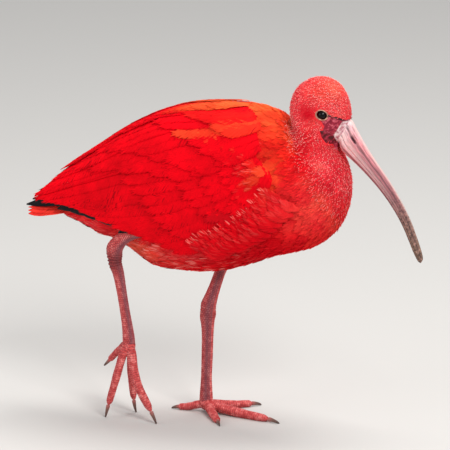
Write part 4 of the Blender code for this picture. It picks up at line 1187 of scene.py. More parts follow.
class IBIS_OT_wings(bpy.types.Operator):
    """Lays the tiers of covert and flight feathers on both folded wings"""

    bl_idname = "ibis.wings"
    bl_label = "Wings"

    def execute(self, context):
        settings = context.scene.ibis_plumage
        rng = np.random.default_rng(settings.seed)
        rows = spline(WING_CORE, 6)

        def base(turn, share):
            x, top, bottom = rows_at(rows, share).T
            upper, lower = envelope_angle(x, top), envelope_angle(x, bottom)
            middle, reach = (upper + lower) / 2, (lower - upper) / 2
            deep = np.where(x < -75, 5.2, 11.5)
            depth = 4.3 + (deep - 4.3) * (1 - np.cos(turn)) / 2
            return on_envelope(x, middle - reach * np.sin(turn) * closed_ends(share, 30, 30), depth)

        wing = rolled("wing_base_right", 48, 90, base)
        for word in ("pale", "sunny"):
            store(wing.data, word, np.zeros(len(wing.data.vertices)))
        other = both_sides(wing, material("skin", skin_material, settings), "scarlet_wing")
        SHARED["wing_right"], SHARED["wing_left"] = wing, other
        SHARED["drape"] = surface_tree(SHARED["skin"], wing, other)
        SHARED["wings"] = surface_tree(wing, other)

        look = material("flight", feather_material, "scarlet_wing_keratin", settings, **FLIGHT_LOOK)
        stations, columns = 16, 7
        lines, normals, widths, lengths, patches = tiers_of(WING_TIERS, stations, rng)
        tint = np.clip(rng.normal(0.5, 0.13, len(lines)), 0, 1)
        # Feathers that catch the light or have worn to orange, by the place of their outer part
        # Painted light in orange on feathers high on the back and on a few single feathers, and painted shade
        # where the lower front edge of the wing tucks under the flank, by the place of their outer part
        outer = lines[:, int(stations * 0.7)]
        sunny = 0.55 * smoothstep(299, 311, outer[:, 2]) * smoothstep(-30, 20, outer[:, 0])
        for x, z, share in PAINTED_LIGHT_FEATHERS:
            sunny = np.maximum(sunny, share * smoothstep(11, 5, np.hypot(outer[:, 0] - x, outer[:, 2] - z)))
        zero = np.zeros(len(lines))
        zones = dict(tint=tint, sunny=sunny, pale=zero, fleck=zero,
                     shade=0.8 * near_spot(outer, (20, 208), (28, 13)))
        counts = [tier["count"] for tier in WING_TIERS]
        fray = np.repeat([tier.get("fray", FRAY) for tier in WING_TIERS], counts)
        reach_out = np.repeat([tier.get("edge", EDGE) for tier in WING_TIERS], counts)
        wing = vane_mesh("wing_feathers_right", lines, normals, widths, lengths, rng, "long", columns,
                         0.3, 0.16, 0.5, fray, patches, zones)
        both_sides(wing, look, "scarlet_wing", "wing")

        self.fringe(lines, normals, widths, lengths, patches, zones, rng, look, reach_out)
        self.ridge(rng, look)

        lines, normals, widths, lengths, patches = tier_lines(PRIMARIES, stations, rng)
        primaries = vane_mesh("primary_feathers_right", lines, normals, widths, lengths, rng, "long", columns,
                              0.34, 0.12, 0.5, 0.05, patches, dict(tint=np.zeros(len(lines))))
        both_sides(primaries, material("black", black_feather_material), "black_feather", "primaries")
        return {"FINISHED"}

    def fringe(self, lines, normals, widths, lengths, patches, zones, rng, look, reach_out):
        """Loose barbs over the vanes of both wings, which soften the edges of the feathers."""
        barbs, ups, owner, reach, _ = barbs_of(lines, normals, widths, lengths, rng, 13, 0.25, reach_out)
        thick = rng.uniform(0.8, 1.5, len(owner))
        shades = np.clip(zones["tint"][owner] + rng.normal(0, 0.12, len(owner)), 0, 1)
        for side, word in ((1, "right"), (-1, "left")):
            way = np.array((1, side, 1))
            values = {key: value[owner] for key, value in zones.items()}
            values.update(tint=shades, reach=reach)
            held = barbs * way
            held[..., 1] = side * np.minimum(side * held[..., 1], -BARB_CLEARANCE)
            loose = sliver_mesh(f"wing_barbs_{word}", held, ups * way, thick, rng, patches[owner], values,
                                0.2)
            keep_piece(loose, look, "scarlet_wing")

    def ridge(self, rng, look):
        """Feathers along the middle of the back, over the gap between the wings."""
        stations, rows, made = 10, [], []
        for x in np.arange(34, -124, -6.0):
            for offset in (-1, 0, 1):
                x_root = x + offset * 2 + rng.uniform(-1.5, 1.5)
                rows.append((x_root, offset * 0.13 + rng.uniform(-0.03, 0.03)))
        share = np.linspace(0, 1, stations)
        for x_root, angle in rows:
            length = np.interp(x_root, (-140, -60, 30), (26, 38, 34))
            x = x_root - length * share
            around = angle * (1 + 0.5 * share)
            depth = 1.6 - 2.1 * share**0.7
            turned, side = np.abs(around), (1, np.sign(angle), 1)
            line, normal = on_envelope(x, turned, depth), envelope_normal(x, np.maximum(turned, 0.02), depth)
            made.append((line * side, normal * side, length))
        lines, normals, lengths = (np.array(part) for part in zip(*made))
        count = len(lines)
        widths = np.interp(lines[:, 0, 0], (-140, -60, 30), (9, 13, 15)) * rng.uniform(0.9, 1.1, count)
        zero = np.zeros(count)
        # Painted light: the ridge feathers turn orange towards the front
        sunny = smoothstep(-25, 25, lines[:, 0, 0]) * 0.8 * rng.uniform(0.8, 1, count)
        values = dict(tint=np.clip(rng.normal(0.5, 0.15, count), 0, 1), sunny=sunny,
                      pale=zero, fleck=zero, shade=zero)
        patches = bake_patch(np.where(lines[:, 0, 1] < 0, 0.2, 6.0), lines[:, 0, 0] / 30)
        vanes = vane_mesh("ridge_feathers", lines, normals, widths, lengths, rng, "body", 7, 0.24, 0.2, 0.5,
                          0.2, patches, values)
        keep_piece(vanes, look, "scarlet_plumage")
        barbs, ups, owner, reach, _ = barbs_of(lines, normals, widths, lengths, rng, 10, 0.25, EDGE)
        values = {key: value[owner] for key, value in values.items()}
        values["reach"] = reach
        thick = rng.uniform(0.9, 1.6, len(owner))
        loose = sliver_mesh("ridge_barbs", barbs, ups, thick, rng, patches[owner], values, 0.2)
        keep_piece(loose, look, "scarlet_plumage")


class IBIS_OT_tail(bpy.types.Operator):
    """Makes the twelve closed tail feathers"""

    bl_idname = "ibis.tail"
    bl_label = "Tail"

    def execute(self, context):
        settings = context.scene.ibis_plumage
        rng = np.random.default_rng(settings.seed + 1)
        stations = 14
        share = np.linspace(0, 1, stations)
        lines, normals = [], []
        spreads = np.linspace(-1, 1, RECTRICES)
        for i, spread_at in enumerate(spreads):
            lift = 0.9 - 1.5 * abs(spread_at) - 0.1 * spread_at + 0.35 * (i % 2)
            shorter = 0.07 * abs(spread_at) + 0.025 * (i % 2)
            x = TAIL_ROOT[0] + (TAIL_TIP[0] - TAIL_ROOT[0]) * share * (1 - shorter)
            z = TAIL_ROOT[1] + (TAIL_TIP[1] - TAIL_ROOT[1]) * share + lift * (1 + 3 * share) + 0.2
            y = spread_at * (3 + (TAIL_HALF_WIDTH - 3) * share)
            lines.append(np.stack([x, y, z], axis=-1))
            normals.append(np.tile((0.0, 0.7 * spread_at, 1.0), (stations, 1)))
        lines, normals = np.array(lines), np.array(normals)
        widths = np.full(RECTRICES, TAIL_FEATHER_WIDTH)
        patches = bake_patch(math.pi + spreads * 0.5, np.full(RECTRICES, -3.5))
        zero = np.zeros(RECTRICES)
        # Painted light: the tail, which the wings shade, is drawn paler and more orange than its own scarlet
        values = dict(tint=rng.random(RECTRICES) * 0.3 + 0.4, sunny=zero + 0.2, pale=zero + 0.3,
                      fleck=zero, shade=zero)
        look = material("flight", feather_material, "scarlet_wing_keratin", settings, **FLIGHT_LOOK)
        tail = vane_mesh("tail_feathers", lines, normals, widths, length_of(lines), rng, "long", 7,
                         0.34, 0.1, 0.4, 0.06, patches, values)
        keep_piece(tail, look, "scarlet_plumage", "tail")
        return {"FINISHED"}


def from_back(turns):
    """The smaller turn from the middle of the back, 0 to pi."""
    return np.minimum(turns, 2 * math.pi - turns)


def table_at(table, sections):
    rows = np.array(table, float)
    return [np.interp(sections, rows[:, 0], rows[:, k]) for k in (1, 2, 3, 4)]


def covered(points):
    """Which points of the skin lie under a wing."""
    found = np.zeros(len(points), bool)
    for i, point in enumerate(points):
        if not -125 < point[0] < 70 or abs(point[1]) < 4:
            continue
        way = Vector((0, math.copysign(1, point[1]), 0.25)).normalized()
        found[i] = SHARED["wings"].ray_cast(Vector(point), way, 26)[0] is not None
    return found


def near_spot(points, spot, radius):
    """How near points are to a spot of the side view, 1 to 0."""
    gap = np.linalg.norm((points[:, [0, 2]] - spot) / radius, axis=1)
    return np.exp(-(gap**2))


def markings(places, sections, turns, up):
    """How pale the plumage is at points of the body, and where light and shade are painted on it, the same
    for skin and coat.
    """
    breast = smoothstep(5.0, 7.5, sections) * (1 - smoothstep(8.5, 9.5, sections))
    head = smoothstep(12, 14, sections)
    clumps = 0.5 + 0.5 * np.sin(places[:, 0] * 0.23 + 1.1) * np.sin(places[:, 2] * 0.19 + places[:, 1] * 0.15)
    pale = smoothstep(8.2, 10.4, sections)
    pale += breast * near_spot(places, (120, 228), (36, 36)) * (0.5 + 0.35 * clumps)
    pale *= 1 - 0.4 * near_spot(places, (97, 262), (12, 20)) - 0.4 * near_spot(places, (97, 297), (8, 14))
    for spot, radius, strength in PALE_SPOTS:
        pale += strength * near_spot(places, spot, radius)
    # Painted light, in orange: on the back where it faces up, high on the body, in patches on the breast, at
    # the bend of the wing, on the crown, and on the rear belly, lit from the ground
    back = smoothstep(0.45, 0.95, up) * smoothstep(2.0, 4.5, sections) * (1 - smoothstep(8.4, 9.4, sections))
    back *= smoothstep(262, 286, places[:, 2])
    patch = 0.5 + 0.5 * np.sin(places[:, 0] * 0.21 + places[:, 1] * 0.17)
    sunny = back * (0.72 + 0.28 * patch)
    sunny = np.maximum(sunny, 0.6 * smoothstep(284, 306, places[:, 2]) * (1 - smoothstep(8.2, 9.2, sections)))
    sunny += breast * 0.45 * clumps * near_spot(places, (126, 222), (32, 32))
    sunny += 0.5 * near_spot(places, (70, 256), (10, 22)) + 0.35 * near_spot(places, (114, 332), (20, 12))
    sunny += 0.45 * near_spot(places, (-58, 161), (26, 14))
    shade = 1.2 * near_spot(places, (94, 309), (11, 8)) * head
    for spot, radius, strength in SHADE_SPOTS:
        shade += strength * near_spot(places, spot, radius)
    return pale, sunny, shade


def plumage_zones(roots, sections, turns, normals, rng):
    """Colour of each feather from where it grows: coral neck, painted light in orange on the back, pale
    edges, painted shade at the throat.
    """
    count = len(roots)
    pale, sunny, shade = markings(roots, sections, turns, normals[:, 2])
    low = smoothstep(1.6, 2.6, from_back(turns))
    loose = smoothstep(8.0, 9.0, sections)
    flank = low * smoothstep(-4.5, -1, sections) * (1 - smoothstep(5.0, 6.5, sections))
    waves = np.sin(roots[:, 0] * 0.30 + roots[:, 2] * 0.17) + np.sin(roots[:, 2] * 0.41 + 2)
    groups = smoothstep(-0.3, 0.5, waves)
    body = flank * (0.2 + 0.5 * groups) + 0.25 * near_spot(roots, (59, 262), (9, 22))
    # More pale hair tips on the rear belly: the salmon hair it has, and painted light from the ground below
    body += 0.3 * near_spot(roots, (-60, 161), (28, 16))
    body *= rng.uniform(0.5, 1.0, count)
    fleck = loose * (rng.random(count) < 0.48) * rng.uniform(0.3, 0.9, count) + (1 - loose) * body
    fleck *= 1 - 0.45 * loose * smoothstep(11.0, 9.0, sections)
    head = smoothstep(12, 14, sections)
    fleck += head * near_spot(roots, (122, 322), (16, 18)) * (rng.random(count) < 0.5) * 0.4
    fleck += head * near_spot(roots, (102.5, 287), (4, 7)) * 0.8
    # More pale tips on the nape: the pale specks it has, and painted light where it catches light from behind
    fleck += loose * near_spot(roots, (80, 292), (10, 20)) * 0.4
    tint = np.clip(rng.normal(0.5, 0.2, count), 0, 1)
    shade = shade.clip(0, 1)
    return dict(tint=tint, sunny=np.clip(sunny * rng.uniform(0.8, 1.0, count), 0, 1),
                pale=np.clip(pale * rng.uniform(0.8, 1.0, count), 0, 1),
                fleck=np.clip(fleck * (1 - shade), 0, 0.9), shade=shade)


def rooted(sections_from, sections_to, table, rng, extra=None):
    """Roots on the skin between two sections, clear of the wings, with what the table says of them."""
    body = SHARED["map"]

    def wanted(points):
        sections, turns, _ = body.at(points)
        keep = (sections >= sections_from) & (sections < sections_to)
        if extra is not None:
            keep &= extra(points, sections, turns)
        if sections_from < 8:
            index = np.flatnonzero(keep)
            keep[index[covered(points[index])]] = False
        return keep

    roots = spread(SHARED["skin"], lambda points: table_at(table, body.at(points)[0])[2], wanted, rng)
    sections, turns, lies = body.at(roots)
    lengths, widths, _, lifts = table_at(table, sections)
    count = len(roots)
    return (roots, sections, turns, lies, lengths * rng.uniform(0.85, 1.15, count),
            widths * rng.uniform(0.88, 1.12, count), lifts * rng.uniform(0.85, 1.1, count))


def contour_coat(name, sections_from, sections_to, seed, settings, extra=None):
    """Contour feathers of one stretch of the body: a closed vane each, and loose barbs over it."""
    rng = np.random.default_rng(seed)
    found = rooted(sections_from, sections_to, FEATHERS, rng, extra)
    feathered(name, settings, rng, *over_wings(*found))


def over_wings(roots, sections, turns, lies, lengths, widths, lifts):
    """Lifts the feathers that grow beside a wing, so that they lie over its edge."""
    near_wing = np.array([SHARED["wings"].find_nearest(Vector(p))[3] for p in roots])
    beside = smoothstep(16, 6, near_wing)
    upper = smoothstep(2.0, 1.2, from_back(turns))
    lifts = lifts + (2.5 - 0.8 * upper) * beside
    shoulder = smoothstep(2.8, 3.6, sections) * (1 - smoothstep(6.0, 7.0, sections))
    lifts += 0.7 * upper * shoulder * (1 - beside)
    low = smoothstep(1.3, 2.0, from_back(turns)) * beside
    lies = unit(lies + np.array((0, 0, 0.35)) * low[:, None])
    return roots, sections, turns, lies, lengths, widths, lifts


def feathered(name, settings, rng, roots, sections, turns, lies, lengths, widths, lifts):
    """Lays contour feathers from their roots over the body."""
    lines, normals = laid(roots, lies, SHARED["drape"], lengths, lifts, 7, rng, wander=0.08)
    zones = plumage_zones(roots, sections, turns, normals[:, 0], rng)
    dressed(name, settings, rng, lines, normals, widths, lengths, bake_patch(turns, sections), zones)


def dressed(name, settings, rng, lines, normals, widths, lengths, patches, zones):
    """Contour feathers along given shafts, as one piece of vanes and one of loose barbs."""
    look = material("coat", feather_material, "scarlet_contour_keratin", settings)
    vanes = vane_mesh(name, lines, normals, widths, lengths, rng, "body", 5, 0.22, 0.22, 0.45, 0.3,
                      patches, {**zones, "fleck": zones["fleck"] * 0.1})
    keep_piece(vanes, look, "scarlet_plumage")
    barbs, ups, owner, reach, outer = barbs_of(lines, normals, widths, lengths, rng, 10)
    thick = rng.uniform(0.8, 1.4, len(owner)) * np.interp(widths[owner], (5, 13), (0.6, 1.0))
    values = {key: value[owner] for key, value in zones.items()}
    values["tint"] = np.clip(values["tint"] + rng.normal(0, 0.12, len(owner)), 0, 1)
    values["fleck"] = values["fleck"] * outer * (rng.random(len(owner)) < 0.4)
    values["reach"] = reach
    loose = sliver_mesh(name + "_barbs", barbs, ups, thick, rng, patches[owner], values, 0.28)
    keep_piece(loose, look, "scarlet_plumage")


def flank_cover(name, seed, settings):
    """Pale-fringed flank feathers that reach up over the lower front edge of both wings."""
    rng = np.random.default_rng(seed)
    lines, normals, widths, lengths, _ = tiers_of(FLANK_ROWS, 7, rng)
    way = np.array((1, -1, 1))
    lines, normals = np.concatenate([lines, lines * way]), np.concatenate([normals, normals * way])
    widths, lengths = np.tile(widths, 2), np.tile(lengths, 2)
    roots = lines[:, 0]
    sections, turns, _ = SHARED["map"].at(roots)
    zones = plumage_zones(roots, sections, turns, normals[:, 0], rng)
    # The hindmost row alone has pale fringes
    hindmost = np.tile(np.arange(len(FLANK_ROWS)).repeat(FLANK_ROWS[0]["count"]) == 0, 2)
    zones["fleck"] = np.where(hindmost, 0.5, 0.1) * rng.uniform(0.5, 1.3, len(roots))
    zones["shade"] = np.where(hindmost, 0.1, 0.25) * rng.uniform(0.5, 1.5, len(roots))
    dressed(name, settings, rng, lines, normals, widths, lengths, bake_patch(turns, sections), zones)


def shoulder_cover(name, seed, settings):
    """Small feathers rooted on the front of each wing, over the bases of its coverts."""
    rng = np.random.default_rng(seed)

    def wanted(points):
        near = line_distance(points[:, [0, 2]], WING_FRONT) < 11
        depth = envelope_at(points[:, 0])[2] - np.abs(points[:, 1])
        return near & (depth < 34) & (np.abs(points[:, 1]) > 20)

    def spacing(points):
        return np.full(len(points), SHOULDER_SPACING)

    roots = [spread(SHARED[side], spacing, wanted, rng) for side in ("wing_right", "wing_left")]
    roots = np.concatenate(roots)
    sections, turns, lies = SHARED["map"].at(roots)
    count = len(roots)
    lies = unit(lies + np.array((0, 0, -0.25)))
    feathered(name, settings, rng, roots, sections, turns, lies, rng.uniform(17, 23, count),
              rng.uniform(10, 12.5, count), rng.uniform(3.6, 4.3, count))


def tuft_coat(name, sections_from, sections_to, seed, settings, extra=None):
    """Small loose feathers of neck and head, a tuft each."""
    rng = np.random.default_rng(seed)
    found = rooted(sections_from, sections_to, TUFTS, rng, extra)
    roots, sections, turns, lies, lengths, widths, lifts = found
    lifts = lifts + rng.choice([0, 0.35, 0.9], len(roots), p=[0.7, 0.22, 0.08])
    lines, normals = laid(roots, lies, SHARED["drape"], lengths, lifts, 4, rng, 0.4, 0.28)
    zones = plumage_zones(roots, sections, turns, normals[:, 0], rng)
    zones["tint"] = np.clip(rng.normal(0.5, 0.28, len(roots)), 0, 1)
    tufts = sliver_mesh(name, lines, normals, widths, rng, bake_patch(turns, sections), zones, 0.36)
    look = material("tuft", feather_material, "coral_tuft_keratin", settings, **TUFT_LOOK)
    keep_piece(tufts, look, "scarlet_plumage")


def face_gap(points):
    """Distance outside the bare face, in the side view, of points on either side of the head."""
    return edge_distance(np.asarray(points)[:, [0, 2]], FACE_OUTLINE)


class IBIS_OT_coat(bpy.types.Operator):
    """Covers body, neck and head with feathers that follow their lie"""

    bl_idname = "ibis.coat"
    bl_label = "Body coat"

    def execute(self, context):
        settings = context.scene.ibis_plumage
        seed = settings.seed + 20

        def off_face(points, sections, turns):
            near_eye = np.linalg.norm((points[:, [0, 2]] - EYE[[0, 2]]) / (6.4, 5.6), axis=1) < 1
            off_lore = line_distance(points[:, [0, 2]], LORE_EDGE) > 1.5
            return (face_gap(points) > 0.2) & off_lore & ~near_eye

        def off_tail(points, sections, turns):
            return points[:, 0] > -146

        contour_coat("coat_hind", -4.5, 1.0, seed, settings, off_tail)
        contour_coat("coat_side", 1.0, 4.0, seed + 1, settings)
        contour_coat("coat_shoulder", 4.0, 6.2, seed + 2, settings)
        contour_coat("coat_breast", 6.2, 8.4, seed + 3, settings)
        shoulder_cover("coat_bend", seed + 7, settings)
        flank_cover("coat_flank", seed + 8, settings)
        tuft_coat("tufts_neck", 7.4, 10.0, seed + 4, settings)
        tuft_coat("tufts_nape", 10.0, 13.5, seed + 5, settings, off_face)
        tuft_coat("tufts_head", 13.5, 20.4, seed + 6, settings, off_face)
        return {"FINISHED"}


class IBIS_OT_face(bpy.types.Operator):
    """Makes the bare facial skin on both sides, with its folds at the gape"""

    bl_idname = "ibis.face"
    bl_label = "Face"

    def execute(self, context):
        look = material("face", face_material)
        tree = surface_tree(SHARED["skin"])
        for side, name in ((-1, "face_right"), (1, "face_left")):
            face, grid = grid_of(name, 120, 120)
            x, z = 116.5 + grid[:, 0] * 36, 292 + grid[:, 1] * 36
            flat = np.stack([x, z], axis=-1)
            gap = edge_distance(flat, FACE_OUTLINE)
            gape = edge_distance(flat, GAPE_PATCH)
            horn = edge_distance(flat, HORN_BASE)
            lore = line_distance(flat, LORE_EDGE)
            lift = 0.9 * smoothstep(1.4, -0.8, gap) - 0.45
            lift += 0.55 * smoothstep(0.3, -1.6, gape) + 0.45 * swell(horn, -0.2, 0.8)
            lift += 0.25 * smoothstep(0, -3, horn) + 0.35 * swell(lore, 0, 1.3) * smoothstep(134, 128, x)
            lift -= 0.45 * swell(gape, 0.3, 0.5)
            places = np.zeros((len(x), 3))
            for i in range(len(x)):
                hit = tree.ray_cast(Vector((x[i], side * 60, z[i])), Vector((0, -side, 0)), 80)
                if hit[0] is None:
                    hit = tree.find_nearest(Vector((x[i], side * 6, z[i])))
                places[i] = np.array(hit[0] + hit[1] * lift[i])
            place_points(face, places)
            store(face.data, "gape", smoothstep(0.5, -0.5, gape))
            horny = smoothstep(0.4, -0.4, horn) * smoothstep(-0.5, 0.4, gape) * smoothstep(279, 282, z)
            store(face.data, "horn", horny)
            store(face.data, "rim", smoothstep(1.1, 0.3, np.abs(horn)) * 0.9 * smoothstep(280, 283, z))
            # Painted shade in the groove round the gape and along the lore's upper edge
            edge = swell(gape, 0.2, 0.5) * smoothstep(114, 109, x) * 0.8
            store(face.data, "dark", np.maximum(smoothstep(1.1, 0.5, lore) * smoothstep(132, 126, x), edge))
            bpy.ops.object.mode_set(mode="EDIT")
            bpy.ops.mesh.select_all(action="DESELECT")
            bpy.ops.object.mode_set(mode="OBJECT")
            face.data.vertices.foreach_set("select", (gap > 1.6) | (x > 135.5))
            bpy.ops.object.mode_set(mode="EDIT")
            bpy.ops.mesh.delete(type="VERT")
            bpy.ops.object.mode_set(mode="OBJECT")
            thick = face.modifiers.new("thickness", "SOLIDIFY")
            thick.thickness, thick.offset = 0.4 * MM, -1
            if side > 0:
                edited(flip_normals={})
            apply_all(face)
            bpy.ops.object.shade_smooth()
            keep_piece(face, look, "scarlet_plumage")
        return {"FINISHED"}


class IBIS_OT_eyes(bpy.types.Operator):
    """Sets both eyes in their lids"""

    bl_idname = "ibis.eyes"
    bl_label = "Eyes"

    def execute(self, context):
        for side, word in ((-1, "right"), (1, "left")):
            centre = EYE * (1, side, 1)
            ball = ball_of(centre, EYE_RADIUS, 48, 32)
            ball.name = ball.data.name = f"eyeball_{word}"
            places = points_of(ball)
            outward = (places - centre) @ np.array((0, side, 0)) / EYE_RADIUS
            bulge = smoothstep(0.80, 1.0, outward)
            place_points(ball, places + np.array((0, side, 0)) * bulge[:, None] * 0.35)
            store(ball.data, "iris", np.sqrt(np.clip(1 - outward**2, 0, 1)) / 0.85)
            bpy.ops.object.shade_smooth()
            keep_piece(ball, material("eye", eye_material), "eye_dark", f"eye_{word}")

            def lid(turn, share, side=side, centre=centre):
                roll = 2 * math.pi * share
                wrinkle = 1 + 0.10 * np.sin(turn * 22 + 1.3 * np.sin(turn * 3)) * (0.5 + 0.5 * np.cos(roll))
                reach = 5.15 + 0.62 * np.cos(roll) * wrinkle
                out = 3.35 + 0.75 * np.sin(roll) + 0.15 * np.cos(turn * 2)
                slant = turn + 0.45
                x = reach * 1.03 * np.cos(turn) * (1 + 0.06 * np.cos(2 * slant))
                z = reach * 0.95 * np.sin(turn) * (1 + 0.06 * np.cos(2 * slant))
                y = out - 0.105 * x
                return centre + np.stack([x, side * y, z], axis=-1)

            ring = rolled(f"lids_{word}", 96, 14, lid)
            keep_piece(ring, material("lid", lid_material), "scarlet_plumage")
        return {"FINISHED"}


class IBIS_OT_bill(bpy.types.Operator):
    """Makes both halves of the bill with grooves, nostrils and the line of the mouth"""

    bl_idname = "ibis.bill"
    bl_label = "Bill"

    def execute(self, context):
        rows = spline(BILL_SECTIONS, 12)
        for upper, word in ((True, "upper"), (False, "lower")):
            facts = {}

            def half(turn, share, upper=upper, facts=facts):
                row = rows_at(rows, share)
                zero = np.zeros(len(row))
                top = np.stack([row[:, 0], zero, row[:, 1]], axis=-1)
                low = np.stack([row[:, 2], zero, row[:, 3]], axis=-1)
                depth = np.linalg.norm(top - low, axis=1)
                way = (top - low) / depth[:, None] * (1 if upper else -1)
                mouth = low + (top - low) * MOUTH_LINE
                height = depth * ((1 - MOUTH_LINE) if upper else MOUTH_LINE) - 0.15
                up = np.clip(np.sin(turn), 0, None) ** 0.85
                outer, inward = turn <= math.pi, np.minimum(turn, math.pi - turn)
                side = np.sign(np.cos(turn)) * np.abs(np.cos(turn)) ** 0.8
                nostril, culmen = zero, zero
                if upper:
                    groove = swell(inward, 0.62, 0.10) * smoothstep(0.03, 0.10, share)
                    groove *= 1 - smoothstep(0.9, 0.99, share)
                    second = swell(inward, 0.25, 0.07) * 0.6 * smoothstep(0.05, 0.3, share)
                    groove = np.maximum(groove, second * (1 - smoothstep(0.7, 0.9, share))) * outer
                    nostril = np.exp(-(((share - 0.184) / 0.021) ** 4)) * swell(inward, 0.66, 0.11) * outer
                    # Painted highlight along the ridge of the upper half
                    culmen = swell(turn, math.pi / 2, 0.3) * 0.7 * (1 - smoothstep(0.5, 0.8, share))
                else:
                    groove = swell(inward, 0.55, 0.14) * smoothstep(0.06, 0.2, share)
                    groove *= (1 - smoothstep(0.8, 0.95, share)) * 0.8 * outer
                cut = groove * 0.05 + nostril * 0.22
                closed = closed_ends(share, 60, 25)
                # The groove value is painted shade in the grooves and the nostril; the culmen value is a
                # painted highlight along the ridge
                facts.update(around=np.abs((turn + math.pi / 2) % (2 * math.pi) - math.pi), share=share,
                             groove=np.clip(groove * 0.75 + nostril * 1.2, 0, 1), culmen=culmen)
                width = row[:, 4] * (1 - cut * 1.3)
                return (mouth + way * (0.15 + height * up * (1 - cut) * closed)[:, None]
                        + np.stack([zero, width * side * closed, zero], axis=-1))

            sheath = rolled(f"bill_sheath_{word}", 96, 240, half)
            # Merging renumbers the points, so what is known of each is found again from the nearest one
            turns, shares = np.meshgrid(np.linspace(0, 2 * math.pi, 97), np.linspace(0, 1, 241))
            nearest = nearest_finder(half(turns.ravel(), shares.ravel()))(points_of(sheath))
            for key, value in facts.items():
                store(sheath.data, key, value[nearest])
            keep_piece(sheath, material("bill", bill_material), "bill_horn", f"bill_{word}")
        return {"FINISHED"}


def tube(name, rows, around, lengthwise, up=(0.0, 1.0, 0.0), rounded=6):
    """A limb swept along centre-line rows of x, y, z, half width across and along."""
    rows = spline(rows, 8)
    rows = np.column_stack([rows, unit(np.gradient(rows[:, :3], axis=0))])

    def shape(turn, share):
        row = rows_at(rows, share)
        run = unit(row[:, 5:])
        across = unit(np.array(up) - run * (run @ np.array(up))[:, None])
        closed = closed_ends(share, rounded * 4, rounded * 4)
        wide, deep = row[:, 3] * np.cos(turn) * closed, row[:, 4] * np.sin(turn) * closed
        return row[:, :3] + across * wide[:, None] + np.cross(run, across) * deep[:, None]

    return rolled(name, around, lengthwise, shape)


class IBIS_OT_legs(bpy.types.Operator):
    """Makes the scaled legs and feet, each as one skin from thigh to toes"""

    bl_idname = "ibis.legs"
    bl_label = "Legs"

    def execute(self, context):
        for side, leg in LEGS.items():
            centre, radius = PALMS[side]
            leg = (*leg, (*centre, radius * 0.85, radius * 0.9))
            parts = [tube(f"shank_{side}", leg, 28, 120, rounded=24)]
            branches = [spline(leg, 24)[:, :3]]
            parts.append(ball_of(centre, radius, 24, 16))
            for name, (points, _) in TOES[side].items():
                rows = np.array([(*centre, points[0][3]), *spline(points, 4)])
                # Three soft pads to a toe
                thick = rows[:, 3] * (1 + 0.07 * np.sin(np.linspace(0, 3 * math.pi, len(rows))) ** 2)
                rows = np.column_stack([rows[:, :3], thick, thick])
                up = (0.0, 0.31, 0.95) if side == "left" else (0.0, 1.0, 0.1)
                parts.append(tube(f"digit_{side}_{name}", rows, 18, 60, up, 3))
                branches.append(spline(rows[:, :3], 6))
            skin = one_surface(parts, f"leg_skin_{side}", LEG_VOXEL, 5)
            self.scale(skin, side, branches)
            bpy.ops.object.shade_smooth()
            nodes = [f"{part}_{side}" for part in ("tibia", "tarsus", "foot")]
            nodes += [f"toe_{side}_{toe}" for toe in TOES[side]]
            keep_piece(skin, material("leg", leg_material), "leg_scales", *nodes)
        return {"FINISHED"}

    def scale(self, skin, side, branches):
        """Raises the net of small scales on the leg and the cross plates on top of the toes."""
        made = []
        for kind, line in enumerate(branches):
            reach = np.concatenate([[0], np.cumsum(np.linalg.norm(np.diff(line, axis=0), axis=1))])
            made += zip(np.full(len(line), kind), line, unit(np.gradient(line, axis=0)), reach)
        kinds, starts, runs, reach = (np.array(part) for part in zip(*made))
        places = points_of(skin)
        normals = np.array([v.normal for v in skin.data.vertices])
        found = nearest_finder(starts)(places)
        leg, runs, out = kinds[found] == 0, runs[found], places - starts[found]
        reach = reach[found] + (out * runs).sum(axis=1)
        across = unit(np.array((0.0, 1.0, 0.0)) - runs * runs[:, 1:2])
        turn = np.arctan2((out * np.cross(runs, across)).sum(axis=1), (out * across).sum(axis=1))
        front = unit(np.cross(runs, (0.0, 1.0, 0.0)))
        forward = (unit(out) * front * np.sign(front[:, 0:1] + 1e-9)).sum(axis=1)
        # Net of scales about 2 mm long and 2 mm wide on the leg
        row = reach / SCALE_LENGTH
        column = turn / (2 * math.pi) * SCALES_AROUND + (np.floor(row) % 2) * 0.5
        net = smoothstep(0.32, 0.56, np.hypot(row % 1 - 0.5, (column % 1 - 0.5) * 1.05))
        # Cross plates on the tops of the toes, and a row of them down the front of the shank
        bands = smoothstep(0.72, 0.98, np.abs((reach / PLATE_LENGTH) % 1 - 0.5) * 2)
        upward = smoothstep(-0.1, 0.3, normals[:, 2] if side == "left" else forward)
        upward = np.where(leg, smoothstep(0.55, 0.8, forward), upward)
        seam = net * (1 - upward) + bands * upward
        # Deep skin folds round the hock
        hock_at, wrinkled = HOCKS[side]
        hock = swell(reach, hock_at, 9.0) * leg
        folds = hock * wrinkled * (0.5 + 0.5 * np.sin(reach * 2.1 + 1.5 * np.sin(turn * 2)))
        rise = 0.18 - 0.38 * seam * (1 - hock * 0.6) - 1.1 * folds * hock
        for along_leg, way, height in HOCK_KNOBS[side]:
            facing = np.clip(np.cos(turn - way), 0, 1) ** 2
            rise = rise + height * swell(reach, along_leg, 5.0) * facing * leg
        places = places + normals * rise[:, None]
        places[:, 2] = np.maximum(places[:, 2], 0.0)
        place_points(skin, places)
        # The seams between scales are darker; the folds round the hock add painted shade
        store(skin.data, "seam", np.clip(seam * 0.75 + folds * 0.5, 0, 1))
        store(skin.data, "hock", hock * 0.7 * wrinkled)
        # A dusky violet band runs down the side of each shank that faces the camera
        gap = (turn - DUSKY_SIDES[side] + math.pi) % (2 * math.pi) - math.pi
        band = swell(gap, 0, 0.55) * 0.75 + swell(gap, -0.62, 0.11) * 0.6
        store(skin.data, "front", np.where(leg, np.clip(band, 0, 1), 0.0))


